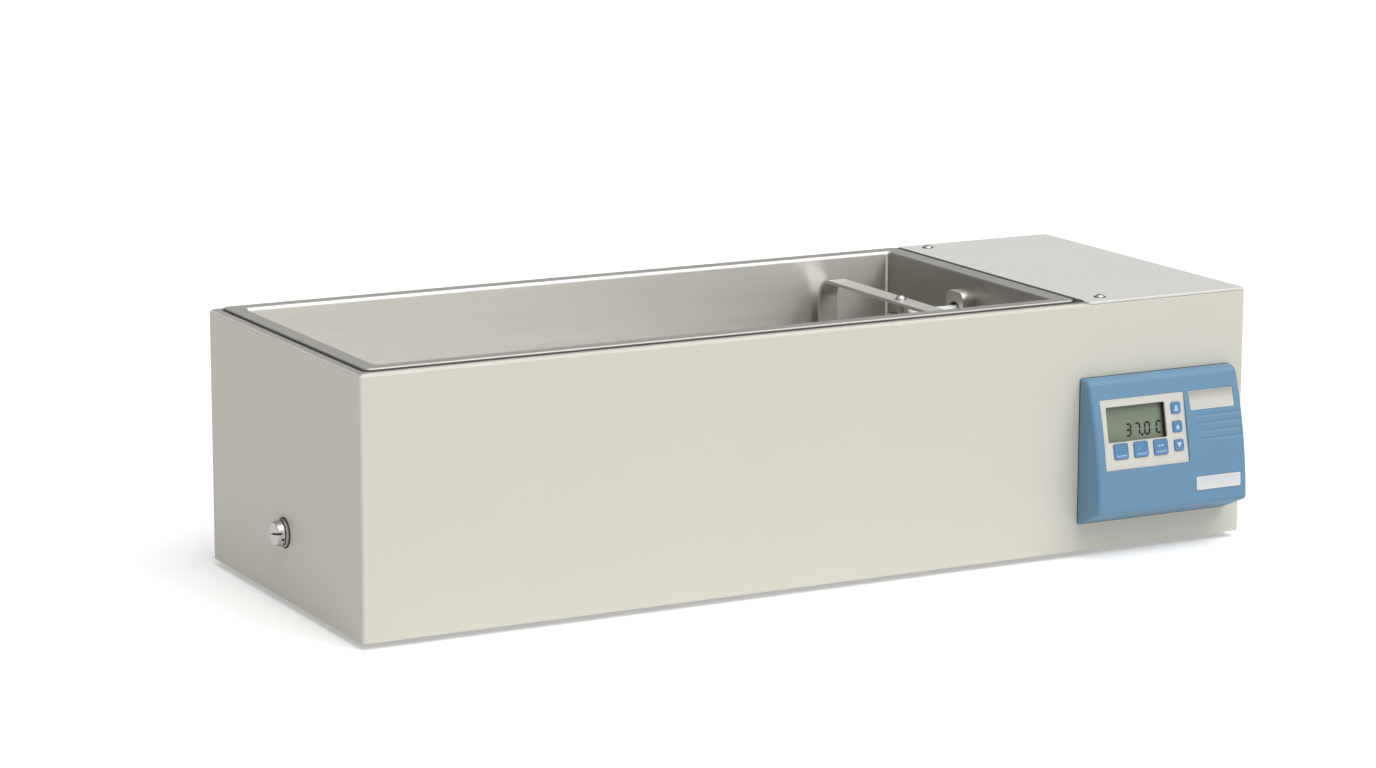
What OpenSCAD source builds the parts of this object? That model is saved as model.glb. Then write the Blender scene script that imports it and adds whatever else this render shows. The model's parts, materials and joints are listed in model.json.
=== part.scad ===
// Shaking water bath: a stainless tank hung in a painted steel casing, with a
// reciprocating tray driven through the tank wall by a gear motor and crank.
// The row origin is the middle of the footprint, on the bench, +Z up.
// Modules work in casing coordinates: X from the left face, Y from the front
// face and Z from the bottom edge of the casing.

/* [Casing] */
// Length of the casing along the front
case_len = 840; // [800:1:900]
// Depth of the casing from front to back
case_depth = 320; // [300:1:360]
// Height of the casing walls
case_height = 216; // [206:1:240]
// Thickness of the casing sheet
case_wall = 1.2; // [1:0.1:1.5]
// Outside radius of the upright bends
case_bend = 2.5; // [2:0.1:4]
// Radius of the bend along the top edge
top_bend = 2; // [1.5:0.1:2.4]
// Width of the inward flange at the bottom
bottom_flange = 14; // [12:0.5:20]
// Height of the rubber feet below the casing
foot_h = 6; // [5:0.5:12]
// Diameter of a foot
foot_d = 30; // [24:1:36]
// Distance from the casing faces to a foot's centre
foot_inset = 56; // [54:1:70]

/* [Tank] */
// Casing face to tank wall at the left, the front and the back
tank_margin = 24; // [22:0.5:30]
// Tank end wall to the right face of the casing
bay_len = 186; // [182:1:220]
// Height of the tank floor above the casing's bottom edge
tank_floor = 46; // [42:1:52]
// Thickness of the tank sheet
tank_t = 0.8; // [0.6:0.1:1.2]
// Inside radius of the upright tank corners
tank_corner = 3.5; // [2:0.5:8]
// Casing face to the outer edge of the tank ledge
ledge_edge = 2; // [1:0.5:4]
// Casing face to the step of the raised rim
rim_step = 9; // [7:0.5:12]
// Height of the raised rim above the ledge
rim_raise = 2.5; // [1.5:0.1:4]
// Radius where the rim turns down into the tank
rim_radius = 3; // [2:0.1:3.5]
// Thickness of the insulation round the tank
insulation_t = 9; // [6:0.5:9.5]

/* [Cover] */
// Length of the drive cover
cover_len = 162; // [155:1:164]
// Thickness of the cover
cover_t = 2; // [1.5:0.1:3]
// Width of the casing's top sheet left round the service opening
service_margin = 34; // [30:1:40]
// Cover's left edge to the screws
cover_screw_in = 22; // [18:1:24]
// Casing face to the cover screws
cover_screw_edge = 17.5; // [14:0.5:20]

/* [Console] */
// Width of the control console
console_w = 154; // [150:1:160]
// Lower edge of the console above the casing's bottom edge
console_z = 24; // [16:1:30]
// Height of the console
console_h = 128; // [126:1:136]
// How far the console stands out from the casing
console_reach = 34.6; // [34:0.1:40]
// Radius of the console's bulged front
console_bulge = 364; // [340:1:420]
// Radius of the console's upper shoulder
shoulder_r = 8; // [6:0.5:10]
// Radius of the console's lower edge
belly_r = 5; // [4:0.5:8]
// How far the console's underside rises from the wall to the lower edge
belly_rise = 12; // [8:0.5:16]
// Radius of the console's side edges
console_edge = 3; // [2.8:0.1:4]
// Wall thickness of the console
console_wall = 2.5; // [2:0.1:2.7]
// Casing's right face to the console's right side
console_gap = 16; // [10:1:20]
// Lean of the keypad plate
panel_tilt = 12; // [11.5:0.5:13]
// Width of the keypad plate
panel_w = 86.3; // [85:0.1:90]
// Height of the keypad plate
panel_h = 61.1; // [60:0.1:64]
// Thickness of the keypad plate
panel_t = 2; // [1.5:0.1:2.2]
// Width of a large key
key_w = 14.5; // [12:0.5:15]
// Height of a large key
key_h = 13.3; // [12:0.1:14]
// Pitch of the large keys
key_pitch = 20.5; // [19.5:0.5:21]
// Width and height of a small key
small_key = 9.6; // [8:0.1:10.5]
// Pitch of the small keys
small_pitch = 16.2; // [15:0.1:17]
// Travel of a key
key_travel = 0.8; // [0.4:0.1:1]
// Width of the display window
window_w = 60.8; // [56:0.1:62]
// Height of the display window
window_h = 30.5; // [28:0.1:31]
// Length of the two bare plates
badge_w = 46; // [40:1:48]
// Height of the upper plate
badge_h = 16.8; // [12:0.1:18]
// Height of the lower plate
name_h = 11.6; // [9:0.1:13]

/* [Shaker] */
// Stroke of the tray
stroke = 25; // [15:1:28]
// Tank end wall to the middle of the hanger bar
bar_from_wall = 68; // [66:1:80]
// Width of the hanger bar
bar_w = 18; // [14:1:20]
// Thickness of the hanger bar
bar_t = 3; // [2.5:0.1:4]
// Casing's top edge down to the top of the hanger bar
bar_drop = 14; // [10:0.5:20]
// Outside bend radius of the hanger bar
bar_bend = 18; // [12:1:24]
// Tank wall to the hanger leg
leg_gap = 6; // [4.5:0.5:8]
// Drive rod axis below the top of the hanger bar
rod_drop = 16.5; // [16:0.5:20]
// Diameter of the drive rod
rod_d = 8; // [7:0.5:9]
// Diameter of the white sleeve on the drive rod
sleeve_d = 14; // [12:0.5:15]
// Length of the connecting rod between its pins
conrod_len = 60; // [56:1:64]
// Diameter of the wrist pin
wrist_d = 5; // [4:0.5:6]
// Diameter of the crank pin
crank_pin_d = 8; // [6:0.5:9]
// Diameter of the crank disc
crank_d = 42; // [40:1:48]
// Diameter of the gear motor's output shaft
shaft_d = 10; // [8:0.5:12]
// Top of the tray above the tank floor
tray_rise = 28; // [26:1:40]
// Thickness of the tray sheet
tray_t = 1.5; // [1:0.1:2]
// Depth of the tray's turned-down edges
tray_flange = 22; // [20:1:24]
// Pitch of the clamp holes in the tray
clamp_pitch = 60; // [50:1:62]
// Diameter of the clamp holes
clamp_d = 5.5; // [4:0.1:6.5]
// Diameter of the flow holes in the tray
flow_d = 22; // [16:1:26]
// Diameter of the tray axles
axle_d = 6; // [5:0.5:8]
// Diameter of a tray roller
roller_d = 23.4; // [20:0.1:23.4]

/* [Drain] */
// Drain axis above the tank floor
drain_rise = 10.5; // [10:0.5:16]
// Diameter of the drain flange
drain_flange_d = 24.3; // [22:0.1:28]
// Diameter of the slotted plug's face
plug_d = 20; // [18:0.5:21]
// How far the plug stands out from the casing
plug_reach = 9.5; // [8.5:0.1:14]
// Width of the coin slot in the plug
slot_w = 1.6; // [1.2:0.1:2.5]
// Lean of the coin slot at rest
slot_angle = -10; // [-45:1:45]
// Bore of the drain fitting
drain_bore = 12; // [10:0.5:13]

/* [Rear panel] */
// How far the rocker stands out from the back
rocker_reach = 5; // [4:0.5:8]
// Swing of the power rocker
rocker_swing = 20; // [14:1:24]
// Casing's right face to the mains inlet's centre
inlet_in = 46; // [44:1:60]
// Mains inlet to power switch, centre to centre
switch_pitch = 44; // [40:1:60]
// Height of the rear inlets above the casing's bottom edge
inlet_z = 42; // [30:1:60]

/* [Hidden] */
$fn = 48;

paint = [0.83, 0.82, 0.77];
steel = [0.70, 0.70, 0.68];
dark_steel = [0.45, 0.45, 0.44];
blue = [0.45, 0.61, 0.74];
key_blue = [0.33, 0.55, 0.75];
cream = [0.86, 0.85, 0.81];
white = [0.93, 0.93, 0.91];
black = [0.12, 0.12, 0.12];
board_green = [0.10, 0.35, 0.22];

// Clearances: a cut passes its face by over, fixed pieces fit by fit_gap,
// turning and sliding pairs by run_gap, and resting pieces by seat_gap
over = 1;
fit_gap = 0.15;
run_gap = 0.05;
seat_gap = 0.2;

// Standard fasteners: M5 button, M4 pan and M3 pan screws
m5 = 5;
m5_head_d = 9;
m5_head_h = 2.6;
m5_nut = 8;
m5_nut_h = 4;
m5_len = 12;
m4 = 4;
m4_head_d = 7;
m4_head_h = 2.4;
m3 = 3;
m3_head_d = 5.5;
m3_head_h = 2;
m4_len = 10;
flat_head_d = 6.4;
screw_play = 0.4;

mid_y = case_depth / 2;

tank_x0 = tank_margin;
tank_x1 = case_len - bay_len;
tank_y0 = tank_margin;
tank_y1 = case_depth - tank_margin;
rim_top = case_height + tank_t + rim_raise;
rim_over = tank_margin - rim_step;
ledge_over = tank_margin - ledge_edge;
ledge_corner = 2;
rim_corner = 5;
rim_root = rim_radius + 0.5;

cover_x0 = case_len - cover_len;
service_x0 = cover_x0 + service_margin;
service_x1 = case_len - 20;
lip_gap = 1;
lip_h = 10;
lip_t = 1.2;
cover_screw_x = cover_x0 + cover_screw_in;

pan_z = case_wall;
pan_top = pan_z + case_wall;
pan_inset = case_wall + 0.6;
foot_recess = 3 + m4_head_h;
pan_vents = 10;
pan_vent_pitch = 7.5;
pan_vent = [4, 60];
side_vents = 8;
side_vent_pitch = 9;
side_vent = [70, 4];
side_vent_rise = 34;

drain_z = tank_floor + drain_rise;
gasket_t = 0.8;
flange_t = 2;
flange_lip = 0.6;
washer_t = 0.8;
washer_gap = 0.1;
plug_base_d = plug_d + 2;
plug_edge = 1;
slot_depth = 3.2;
tommy_d = 2.2;
tommy_turn = 28;
fitting_d = 16;
drain_nut_h = 5;
drain_nut_d = 21;

// Console: the bulge is an arc centred behind the casing
console_x1 = case_len - console_gap;
console_x0 = console_x1 - console_w;
console_top = console_z + console_h;
bulge_z = console_z + 2;
bulge_back = console_bulge - console_reach;
function reach_at(z) = sqrt(pow(console_bulge, 2) - pow(z - bulge_z, 2)) - bulge_back;
function lean_at(z) = asin((z - bulge_z) / console_bulge);
panel_in = 8.6;
panel_x = console_x0 + panel_in + panel_w / 2;
panel_drop = 16.9;
panel_z = console_top - panel_drop - panel_h / 2 * cos(panel_tilt);
panel_sink = 2.2;
panel_reach = reach_at(panel_z) - panel_sink;
ledge_in = 2.5;
frame_t = 2;
frame_border = 3;
window_x = -panel_w / 2 + 5.5 + window_w / 2;
window_y = panel_h / 2 - 6.7 - window_h / 2;
key_x0 = -26;
key_y = -panel_h / 2 + 15.8;
small_x = panel_w / 2 - 9.3;
small_y = 17.4;
key_rise = 1.3;
key_corner = 1.8;
key_gap = 0.25;
key_flange = 0.6;
key_flange_t = 1.4;
key_back = -panel_t - 0.3 - key_flange_t;
board_top = -7;
board_t = 1.6;
post_d = 5;
post_x = panel_w / 2 + (frame_border - ledge_in) / 2;
post_y = panel_h / 2 - 4;
board_w = 2 * post_x + post_d;
board_h = panel_h;
display_t = 1.6;
cell_side = 1.5;
cell_border = 0.5;
holder_wall = 1;
neck_wall = 0.5;
console_boss_d = 8;
console_boss_in = 14;
boss_low = console_z + belly_rise + 9;
boss_high = console_top - 7.5;
console_screw_len = 12;
cable_hole_d = 22;
cable_hole_z = boss_low + 14;
badge_x = console_x1 - 7.6 - badge_w / 2;
badge_z = console_top - 25;
name_x = console_x1 - 7.3 - badge_w / 2;
name_z = console_z + 32;
badge_t = 1;
badge_pocket = 1.8;
name_t = 1.2;
name_pocket = 0.7;
name_reach = reach_at(name_z) + name_h / 2 * sin(lean_at(name_z))
    + (name_t - name_pocket) * cos(lean_at(name_z));
groove_r = 2.2;
groove_count = 4;
groove_pitch = 6.7;
groove_z = console_top - 38.2;
groove_x = console_x1 - badge_w - 3;
groove_start = 0.4;
groove_end = 0.85;

// Drive line: the crank stands at mid stroke, with the rod pulled off line
rod_z = case_height - bar_drop - rod_drop;
bar_top = case_height - bar_drop;
bar_x = tank_x1 - bar_from_wall;
leg_y0 = tank_y0 + leg_gap;
leg_y1 = tank_y1 - leg_gap;
eye_len = 13;
eye_w = 14;
eye_h = 9;
washer_h = 1;
hanger_screw_len = 18;
sleeve_x0 = bar_x + 5;
block_t = 12.5;
block_w = 28;
block_up = 19.5;
block_r = 7;
bush_d = 20;
bush_recess = 2.5;
bush_flange_d = 22.4;
bush_flange_t = 3;
guide_screw_off = 15;
crank_r = stroke / 2;
sleeve_x1 = tank_x1 + tank_t + bush_flange_t + crank_r + 6;
wrist_x = sleeve_x1 + 32;
fork_x0 = wrist_x - 24;
fork_x1 = wrist_x + 9;
fork_w = 16;
fork_h = 18;
conrod_t = 6;
fork_gap = 0.3;
crank_x = wrist_x + conrod_len;
crank_turn = acos(-crank_r / (2 * conrod_len));
conrod_lean = asin(crank_r * sin(crank_turn) / conrod_len);
crank_pin_x = crank_x + crank_r * cos(crank_turn);
crank_pin_y = mid_y - crank_r * sin(crank_turn);
small_end_r = 7;
big_end_r = 10;
pin_short = 0.4;
bush_wall = 2;
disc_t = 8;
disc_top = rod_z - conrod_t / 2 - 4;
disc_z = disc_top - disc_t;
hub_h = 4;
hub_d = 24;
box_top = disc_z - hub_h - 6;
box_w = 74;
box_len = 92;
box_h = 42;
box_shift = 14;
box_boss_d = 28;
box_screw_in = 9;
box_screw_y = [-22, 42];
box_floor = 8;
box_boss_h = 5.5;
motor_d = 60;
motor_h = 68;
motor_shift = 8;
motor_bell_h = 4;
motor_vent_d = 6;
bracket_t = 2.5;
bracket_half = 46;
bracket_w = 100;
bracket_foot = 14;
bracket_hole_y = 36;
bracket_screw_len = 5;
bracket_window = [64, 70];
bracket_window_z = 42;

tray_x0 = tank_x0 + 40;
tray_x1 = tank_x1 - 44;
tray_y0 = leg_y0 + bar_t;
tray_y1 = leg_y1 - bar_t;
tray_top = tank_floor + tray_rise;
tray_low = tray_top - tray_flange;
clamp_cols = 9;
clamp_rows = 4;
clamp_x0 = (tray_x0 + tray_x1) / 2 - clamp_pitch * (clamp_cols - 1) / 2;
clamp_y0 = mid_y - clamp_pitch * (clamp_rows - 1) / 2;
roller_gap = 0.3;
axle_z = tank_floor + roller_gap + roller_d / 2;
axle_in = 46;
axle_x = [tray_x0 + axle_in, tray_x1 - axle_in - 30];
axle_head_d = 9;
axle_head_t = 1.5;
roller_w = 12;
hub_len = 18;
roller_hub_d = 10;
tray_screw_z = [tray_low + 6, tray_low + 16];
tray_screw_len = 10;

insulation_gap = 0.3;
heater_d = 8;
heater_gap = 0.2;
heater_z = tank_floor - tank_t - heater_gap - heater_d / 2;
heater_pitch = 40;
heater_x0 = tank_x0 + 76;
heater_x1 = tank_x1 - 54;
heater_end = tank_x1 + 22;
heater_y0 = mid_y - 1.5 * heater_pitch;
clamp_bar_t = 1;
clamp_bar_w = 12;
clamp_post_d = 5;
clamp_in = 50;
insulation_low = heater_z - heater_d / 2 - clamp_bar_t - 0.4;
insulation_top = case_height - 12;
sensor_y = tank_y0 + 80;
sensor_z = tank_floor + 26;
sensor_w = 14;
sensor_t = 8;
sensor_d = 5;
sensor_end = 5;

inlet_x = case_len - inlet_in;
switch_x = inlet_x - switch_pitch;
inlet_w = 27;
inlet_h = 20;
inlet_flange = 2.2;
inlet_t = 2;
inlet_depth = 16;
inlet_pins = [[-7, -2], [7, -2], [0, 3]];
pin_t = 2;
rocker_w = 15;
rocker_len = 21;
rocker_sink = 3;
rocker_pin_d = 2.4;
rocker_face = 2.4;
board_right = 142;
board_back = 94;
power_w = 74;
power_l = 66;
standoff = 8;
standoff_in = 5;

// The row origin is halfway between the parts that stand out furthest
case_left = (plug_reach - case_len) / 2;
front_reach = max(name_reach, reach_at(console_z + belly_rise + belly_r));
case_front = (front_reach - case_depth - rocker_reach) / 2;

module in_case() {
    translate([case_left, case_front, foot_h]) children();
}

// Rectangle with round corners, from true arcs
module round_rect(x0, y0, x1, y1, r) {
    translate([x0 + r, y0]) square([x1 - x0 - 2 * r, y1 - y0]);
    translate([x0, y0 + r]) square([x1 - x0, y1 - y0 - 2 * r]);
    for (x = [x0 + r, x1 - r], y = [y0 + r, y1 - r]) translate([x, y]) circle(r);
}

module slab(x0, y0, x1, y1, r, z0, z1) {
    translate([0, 0, z0]) linear_extrude(z1 - z0) round_rect(x0, y0, x1, y1, r);
}

module centred_slab(w, h, r, z0, z1) {
    slab(-w / 2, -h / 2, w / 2, h / 2, r, z0, z1);
}

// Sweeps a profile round a rectangle: its X points outwards, its Y points up
module loop(x0, y0, x1, y1, r) {
    runs = [x1 - x0 - 2 * r, y1 - y0 - 2 * r];
    corners = [[x0 + r, y0 + r], [x1 - r, y0 + r], [x1 - r, y1 - r], [x0 + r, y1 - r]];
    for (i = [0:3]) translate(corners[i]) rotate(180 + 90 * i) {
        rotate_extrude(angle = 90) translate([r, 0]) children();
        rotate(90) translate([0, runs[i % 2], 0]) rotate([90, 0, 0])
            linear_extrude(runs[i % 2]) translate([r, 0]) children();
    }
}

// What a cutter takes off an outer and an inner edge to leave a radius
module outer_round(r, z) {
    difference() {
        translate([-r, z - r]) square(r + over);
        translate([-r, z - r]) circle(r);
    }
}

module inner_round(r, z) {
    difference() {
        translate([-over, z - r]) square(r + over);
        translate([r, z - r]) circle(r);
    }
}

module along_x(x) {
    translate([x, 0, 0]) rotate([90, 0, 90]) children();
}

module rod_x(x0, x1, d, y, z) {
    translate([x0, y, z]) rotate([0, 90, 0]) cylinder(h = x1 - x0, d = d);
}

module rod_y(y0, y1, d, x, z) {
    translate([x, y1, z]) rotate([90, 0, 0]) cylinder(h = y1 - y0, d = d);
}

// Button-head screw, head up, seat at the origin
module button_screw(d, len, head_d, head_h) {
    dome = (pow(head_d / 2, 2) + pow(head_h, 2)) / (2 * head_h);
    difference() {
        union() {
            intersection() {
                translate([0, 0, head_h - dome]) sphere(dome);
                cylinder(h = head_h, d = head_d);
            }
            translate([0, 0, -len]) cylinder(h = len + head_h / 2, d = d);
        }
        translate([0, 0, head_h * 0.4]) cylinder(h = head_h, d = d * 0.7, $fn = 6);
    }
}

// Pan-head screw with a cross recess, head up, seat at the origin
module pan_screw(d, len, head_d, head_h) {
    difference() {
        union() {
            cylinder(h = head_h, d = head_d);
            translate([0, 0, -len]) cylinder(h = len + head_h / 2, d = d);
        }
        for (a = [0, 90]) rotate(a) translate([-d / 2, -d / 8, head_h / 2])
            cube([d, d / 4, head_h]);
    }
}

module casing() {
    color(paint) in_case() difference() {
        slab(0, 0, case_len, case_depth, case_bend, 0, case_height);
        slab(case_wall, case_wall, case_len - case_wall, case_depth - case_wall,
            case_bend - case_wall, case_wall, case_height - case_wall);
        slab(bottom_flange, bottom_flange, case_len - bottom_flange,
            case_depth - bottom_flange, 4, -over, case_wall + over);
        tank_hole(case_height - case_wall - over, case_height + over);
        slab(service_x0, service_margin, service_x1, case_depth - service_margin, 4,
            case_height - case_wall - over, case_height + over);
        loop(0, 0, case_len, case_depth, case_bend) outer_round(top_bend, case_height);
        cover_screw_places() translate([0, 0, -2 * case_wall])
            cylinder(h = 4 * case_wall, d = m5 + screw_play);
        rim_screw_places() {
            translate([0, 0, -over]) cylinder(h = case_wall + 2 * over, d = m4 + screw_play);
            countersink();
        }
        rod_x(-over, case_wall + over, fitting_d + screw_play, mid_y, drain_z);
        console_screw_places() translate([0, 0, -over])
            cylinder(h = case_wall + 2 * over, d = m4 + screw_play);
        rod_y(-over, case_wall + over, cable_hole_d, panel_x + panel_w / 2, cable_hole_z);
        rear_opening(inlet_x);
        rear_opening(switch_x);
        for (i = [0:side_vents - 1]) slab_y(service_x0, service_x0 + side_vent[0],
            inlet_z + side_vent_rise + i * side_vent_pitch, side_vent[1]);
    }
}

// Room for the tank through the casing's top sheet
module tank_hole(z0, z1) {
    gap = tank_t + over;
    slab(tank_x0 - gap, tank_y0 - gap, tank_x1 + gap, tank_y1 + gap,
        tank_corner + gap, z0, z1);
}

// A slot with round ends through the back wall
module slab_y(x0, x1, z, h) {
    translate([0, case_depth + over, 0]) rotate([90, 0, 0])
        linear_extrude(case_wall + 2 * over) round_rect(x0, z, x1, z + h, h / 2 - 0.01);
}

module rear_opening(x) {
    translate([x - inlet_w / 2 - fit_gap, case_depth - case_wall - over,
        inlet_z - inlet_h / 2 - fit_gap])
        cube([inlet_w + 2 * fit_gap, case_wall + 2 * over, inlet_h + 2 * fit_gap]);
}

module cover_screw_places() {
    for (y = [cover_screw_edge, case_depth - cover_screw_edge])
        translate([cover_screw_x, y, case_height]) children();
}

module rim_screw_places() {
    side_x = [bottom_flange / 2, case_len - bottom_flange / 2];
    side_y = [bottom_flange / 2, case_depth - bottom_flange / 2];
    for (x = side_x) translate([x, mid_y, 0]) children();
    for (i = [1:3], y = side_y) translate([case_len * i / 4, y, 0]) children();
}

// Room for a flat screw head in the casing's bottom flange
module countersink() {
    translate([0, 0, -over]) cylinder(h = over + 0.01, d = flat_head_d + screw_play);
    cylinder(h = case_wall, d1 = flat_head_d + screw_play, d2 = m4 + screw_play);
}

module foot_places() {
    for (x = [foot_inset, case_len - foot_inset], y = [foot_inset, case_depth - foot_inset])
        translate([x, y, 0]) children();
}

// Looks into the front wall from inside the casing
module console_screw_places() {
    for (x = [console_x0 + console_boss_in, console_x1 - console_boss_in],
        z = [boss_low, boss_high])
        translate([x, 0, z]) rotate([-90, 0, 0]) children();
}

module base_pan() {
    color(steel) in_case() difference() {
        slab(pan_inset, pan_inset, case_len - pan_inset, case_depth - pan_inset,
            2, pan_z, pan_top);
        rim_screw_places() translate([0, 0, pan_z - over])
            cylinder(h = case_wall + 2 * over, d = m4 + screw_play);
        foot_places() translate([0, 0, pan_z - over])
            cylinder(h = case_wall + 2 * over, d = m4 + screw_play);
        bracket_screw_places() translate([0, 0, -case_wall - over])
            cylinder(h = case_wall + 2 * over, d = m4 + screw_play);
        for (i = [0:pan_vents - 1])
            translate([crank_x + (i - (pan_vents - 1) / 2) * pan_vent_pitch, mid_y, 0])
                centred_slab(pan_vent[0], pan_vent[1], pan_vent[0] / 2 - 0.1, pan_z - over,
                    pan_top + over);
    }
}

// Countersunk M4 screw, head up, its face just below the origin
module flat_screw() {
    difference() {
        union() {
            translate([0, 0, -case_wall]) cylinder(h = case_wall - 0.1, d1 = m4, d2 = flat_head_d);
            translate([0, 0, -m4_len]) cylinder(h = m4_len - case_wall + 0.1, d = m4);
        }
        for (a = [0, 90]) rotate(a) translate([-m4 / 2, -m4 / 8, -0.9]) cube([m4, m4 / 4, over]);
    }
}

module base_screws() {
    color(dark_steel) in_case() {
        rim_screw_places() rotate([180, 0, 0]) flat_screw();
        foot_places() translate([0, 0, -foot_h + foot_recess]) rotate([180, 0, 0])
            pan_screw(m4, m4_len, m4_head_d, m4_head_h);
    }
}

module feet() {
    color(black) in_case() foot_places() difference() {
        translate([0, 0, -foot_h]) cylinder(h = foot_h + pan_z, d1 = foot_d - 4, d2 = foot_d);
        translate([0, 0, -foot_h - over])
            cylinder(h = over + foot_recess, d = m4_head_d + 2);
        cylinder(h = 4 * foot_h, d = m4 + screw_play, center = true);
    }
}

module tank() {
    color(steel) in_case() difference() {
        union() {
            slab(ledge_edge, ledge_edge, tank_x1 + ledge_over, case_depth - ledge_edge,
                ledge_corner, case_height, case_height + tank_t);
            slab(rim_step, rim_step, tank_x1 + rim_over, case_depth - rim_step,
                rim_corner, case_height, rim_top);
            slab(tank_x0 - tank_t, tank_y0 - tank_t, tank_x1 + tank_t, tank_y1 + tank_t,
                tank_corner + tank_t, tank_floor - tank_t, rim_top);
        }
        slab(tank_x0, tank_y0, tank_x1, tank_y1, tank_corner, tank_floor, rim_top + over);
        difference() {
            slab(rim_step + tank_t, rim_step + tank_t, tank_x1 + rim_over - tank_t,
                case_depth - rim_step - tank_t, rim_corner - tank_t,
                case_height - over, case_height + rim_raise);
            slab(tank_x0 - rim_root, tank_y0 - rim_root, tank_x1 + rim_root,
                tank_y1 + rim_root, tank_corner + rim_root, case_height, rim_top);
            slab(tank_x0 - tank_t, tank_y0 - tank_t, tank_x1 + tank_t, tank_y1 + tank_t,
                tank_corner + tank_t, tank_floor, rim_top);
        }
        loop(tank_x0, tank_y0, tank_x1, tank_y1, tank_corner)
            inner_round(rim_radius, rim_top);
        rod_x(tank_x0 - tank_t - over, tank_x0 + over, fitting_d + screw_play, mid_y, drain_z);
        rod_x(tank_x1 - over, tank_x1 + tank_t + over, bush_d + screw_play, mid_y, rod_z);
        for (s = [-1, 1]) rod_x(tank_x1 - over, tank_x1 + tank_t + over,
            m4 + screw_play, mid_y, rod_z + s * guide_screw_off);
    }
}

module tank_insulation() {
    inner = tank_t + insulation_gap;
    outer = inner + insulation_t;
    color([0.85, 0.80, 0.62]) in_case() difference() {
        slab(tank_x0 - outer, tank_y0 - outer, tank_x1 + outer, tank_y1 + outer,
            tank_corner + outer, insulation_low - insulation_t, insulation_top);
        slab(tank_x0 - inner, tank_y0 - inner, tank_x1 + inner, tank_y1 + inner,
            tank_corner + inner, insulation_low, insulation_top + over);
        rod_x(0, tank_x0, fitting_d + screw_play, mid_y, drain_z);
        translate([tank_x1, mid_y - block_w / 2, rod_z - block_up])
            cube([outer + over, block_w, case_height]);
        translate([tank_x1, sensor_y - sensor_w, sensor_z - sensor_w])
            cube([outer + over, 2 * sensor_w, 2 * sensor_w]);
        for (y = [heater_y0, heater_y0 + 3 * heater_pitch])
            rod_x(tank_x1, heater_end, heater_d + 1, y, heater_z);
    }
}

module top_cover() {
    lip_x0 = service_x0 + lip_gap;
    lip_x1 = service_x1 - lip_gap;
    lip_y0 = service_margin + lip_gap;
    lip_y1 = case_depth - service_margin - lip_gap;
    color(paint) in_case() difference() {
        union() {
            slab(cover_x0, 0, case_len, case_depth, case_bend, case_height,
                case_height + cover_t);
            difference() {
                slab(lip_x0, lip_y0, lip_x1, lip_y1, 3, case_height - lip_h,
                    case_height + cover_t / 2);
                slab(lip_x0 + lip_t, lip_y0 + lip_t, lip_x1 - lip_t, lip_y1 - lip_t,
                    3 - lip_t, case_height - lip_h - over, case_height);
            }
        }
        loop(cover_x0, 0, case_len, case_depth, case_bend)
            outer_round(cover_t / 2, case_height + cover_t);
        cover_screw_places() translate([0, 0, -over])
            cylinder(h = cover_t + 2 * over, d = m5 + screw_play);
    }
}

module cover_screws() {
    color(steel) in_case() cover_screw_places() translate([0, 0, cover_t])
        button_screw(m5, m5_len, m5_head_d, m5_head_h);
}

// Centres of a run of balls of radius e that roll inside the console's skin
function arc_points(cy, cz, r, a0, a1, n) =
    [for (i = [0:n]) let (a = a0 + (a1 - a0) * i / n) [cy + r * cos(a), cz + r * sin(a)]];
shoulder_z = console_top - shoulder_r;
shoulder_lean = asin((shoulder_z - bulge_z) / (console_bulge - shoulder_r));
shoulder_y = (console_bulge - shoulder_r) * cos(shoulder_lean) - bulge_back;
belly_z = console_z + belly_rise + belly_r;
belly_lean = asin((belly_z - bulge_z) / (console_bulge - belly_r));
belly_y = (console_bulge - belly_r) * cos(belly_lean) - bulge_back;
function skin_points() = let (e = console_edge) concat(
    arc_points(shoulder_y, shoulder_z, shoulder_r - e, 90, shoulder_lean, 5),
    arc_points(-bulge_back, bulge_z, console_bulge - e, shoulder_lean, belly_lean, 6),
    arc_points(belly_y, belly_z, belly_r - e, belly_lean, -90, 3));

// The console's outer form, or its hollow when it is drawn inset by a wall.
// Its flat back stands at y = back.
module console_form(inset, facets, back) {
    e = console_edge;
    hull() {
        for (x = [console_x0 + e, console_x1 - e], p = skin_points())
            translate([x, -p[0], p[1]]) sphere(e - inset, $fn = facets);
        translate([console_x0 + inset, -over, console_z + inset])
            cube([console_w - 2 * inset, over + back, console_h - 2 * inset]);
    }
}

// Local axes of the keypad plate: X along the casing, Y up the slope, Z outwards
module on_panel() {
    translate([panel_x, -panel_reach, panel_z]) rotate([90 - panel_tilt, 0, 0]) children();
}

// The same on the console's skin at a height
module on_skin(x, z) {
    translate([x, -reach_at(z), z]) rotate([90 - lean_at(z), 0, 0]) children();
}

module panel_posts() {
    for (x = [-post_x, post_x], y = [-post_y, post_y]) translate([x, y, 0]) children();
}

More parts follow.
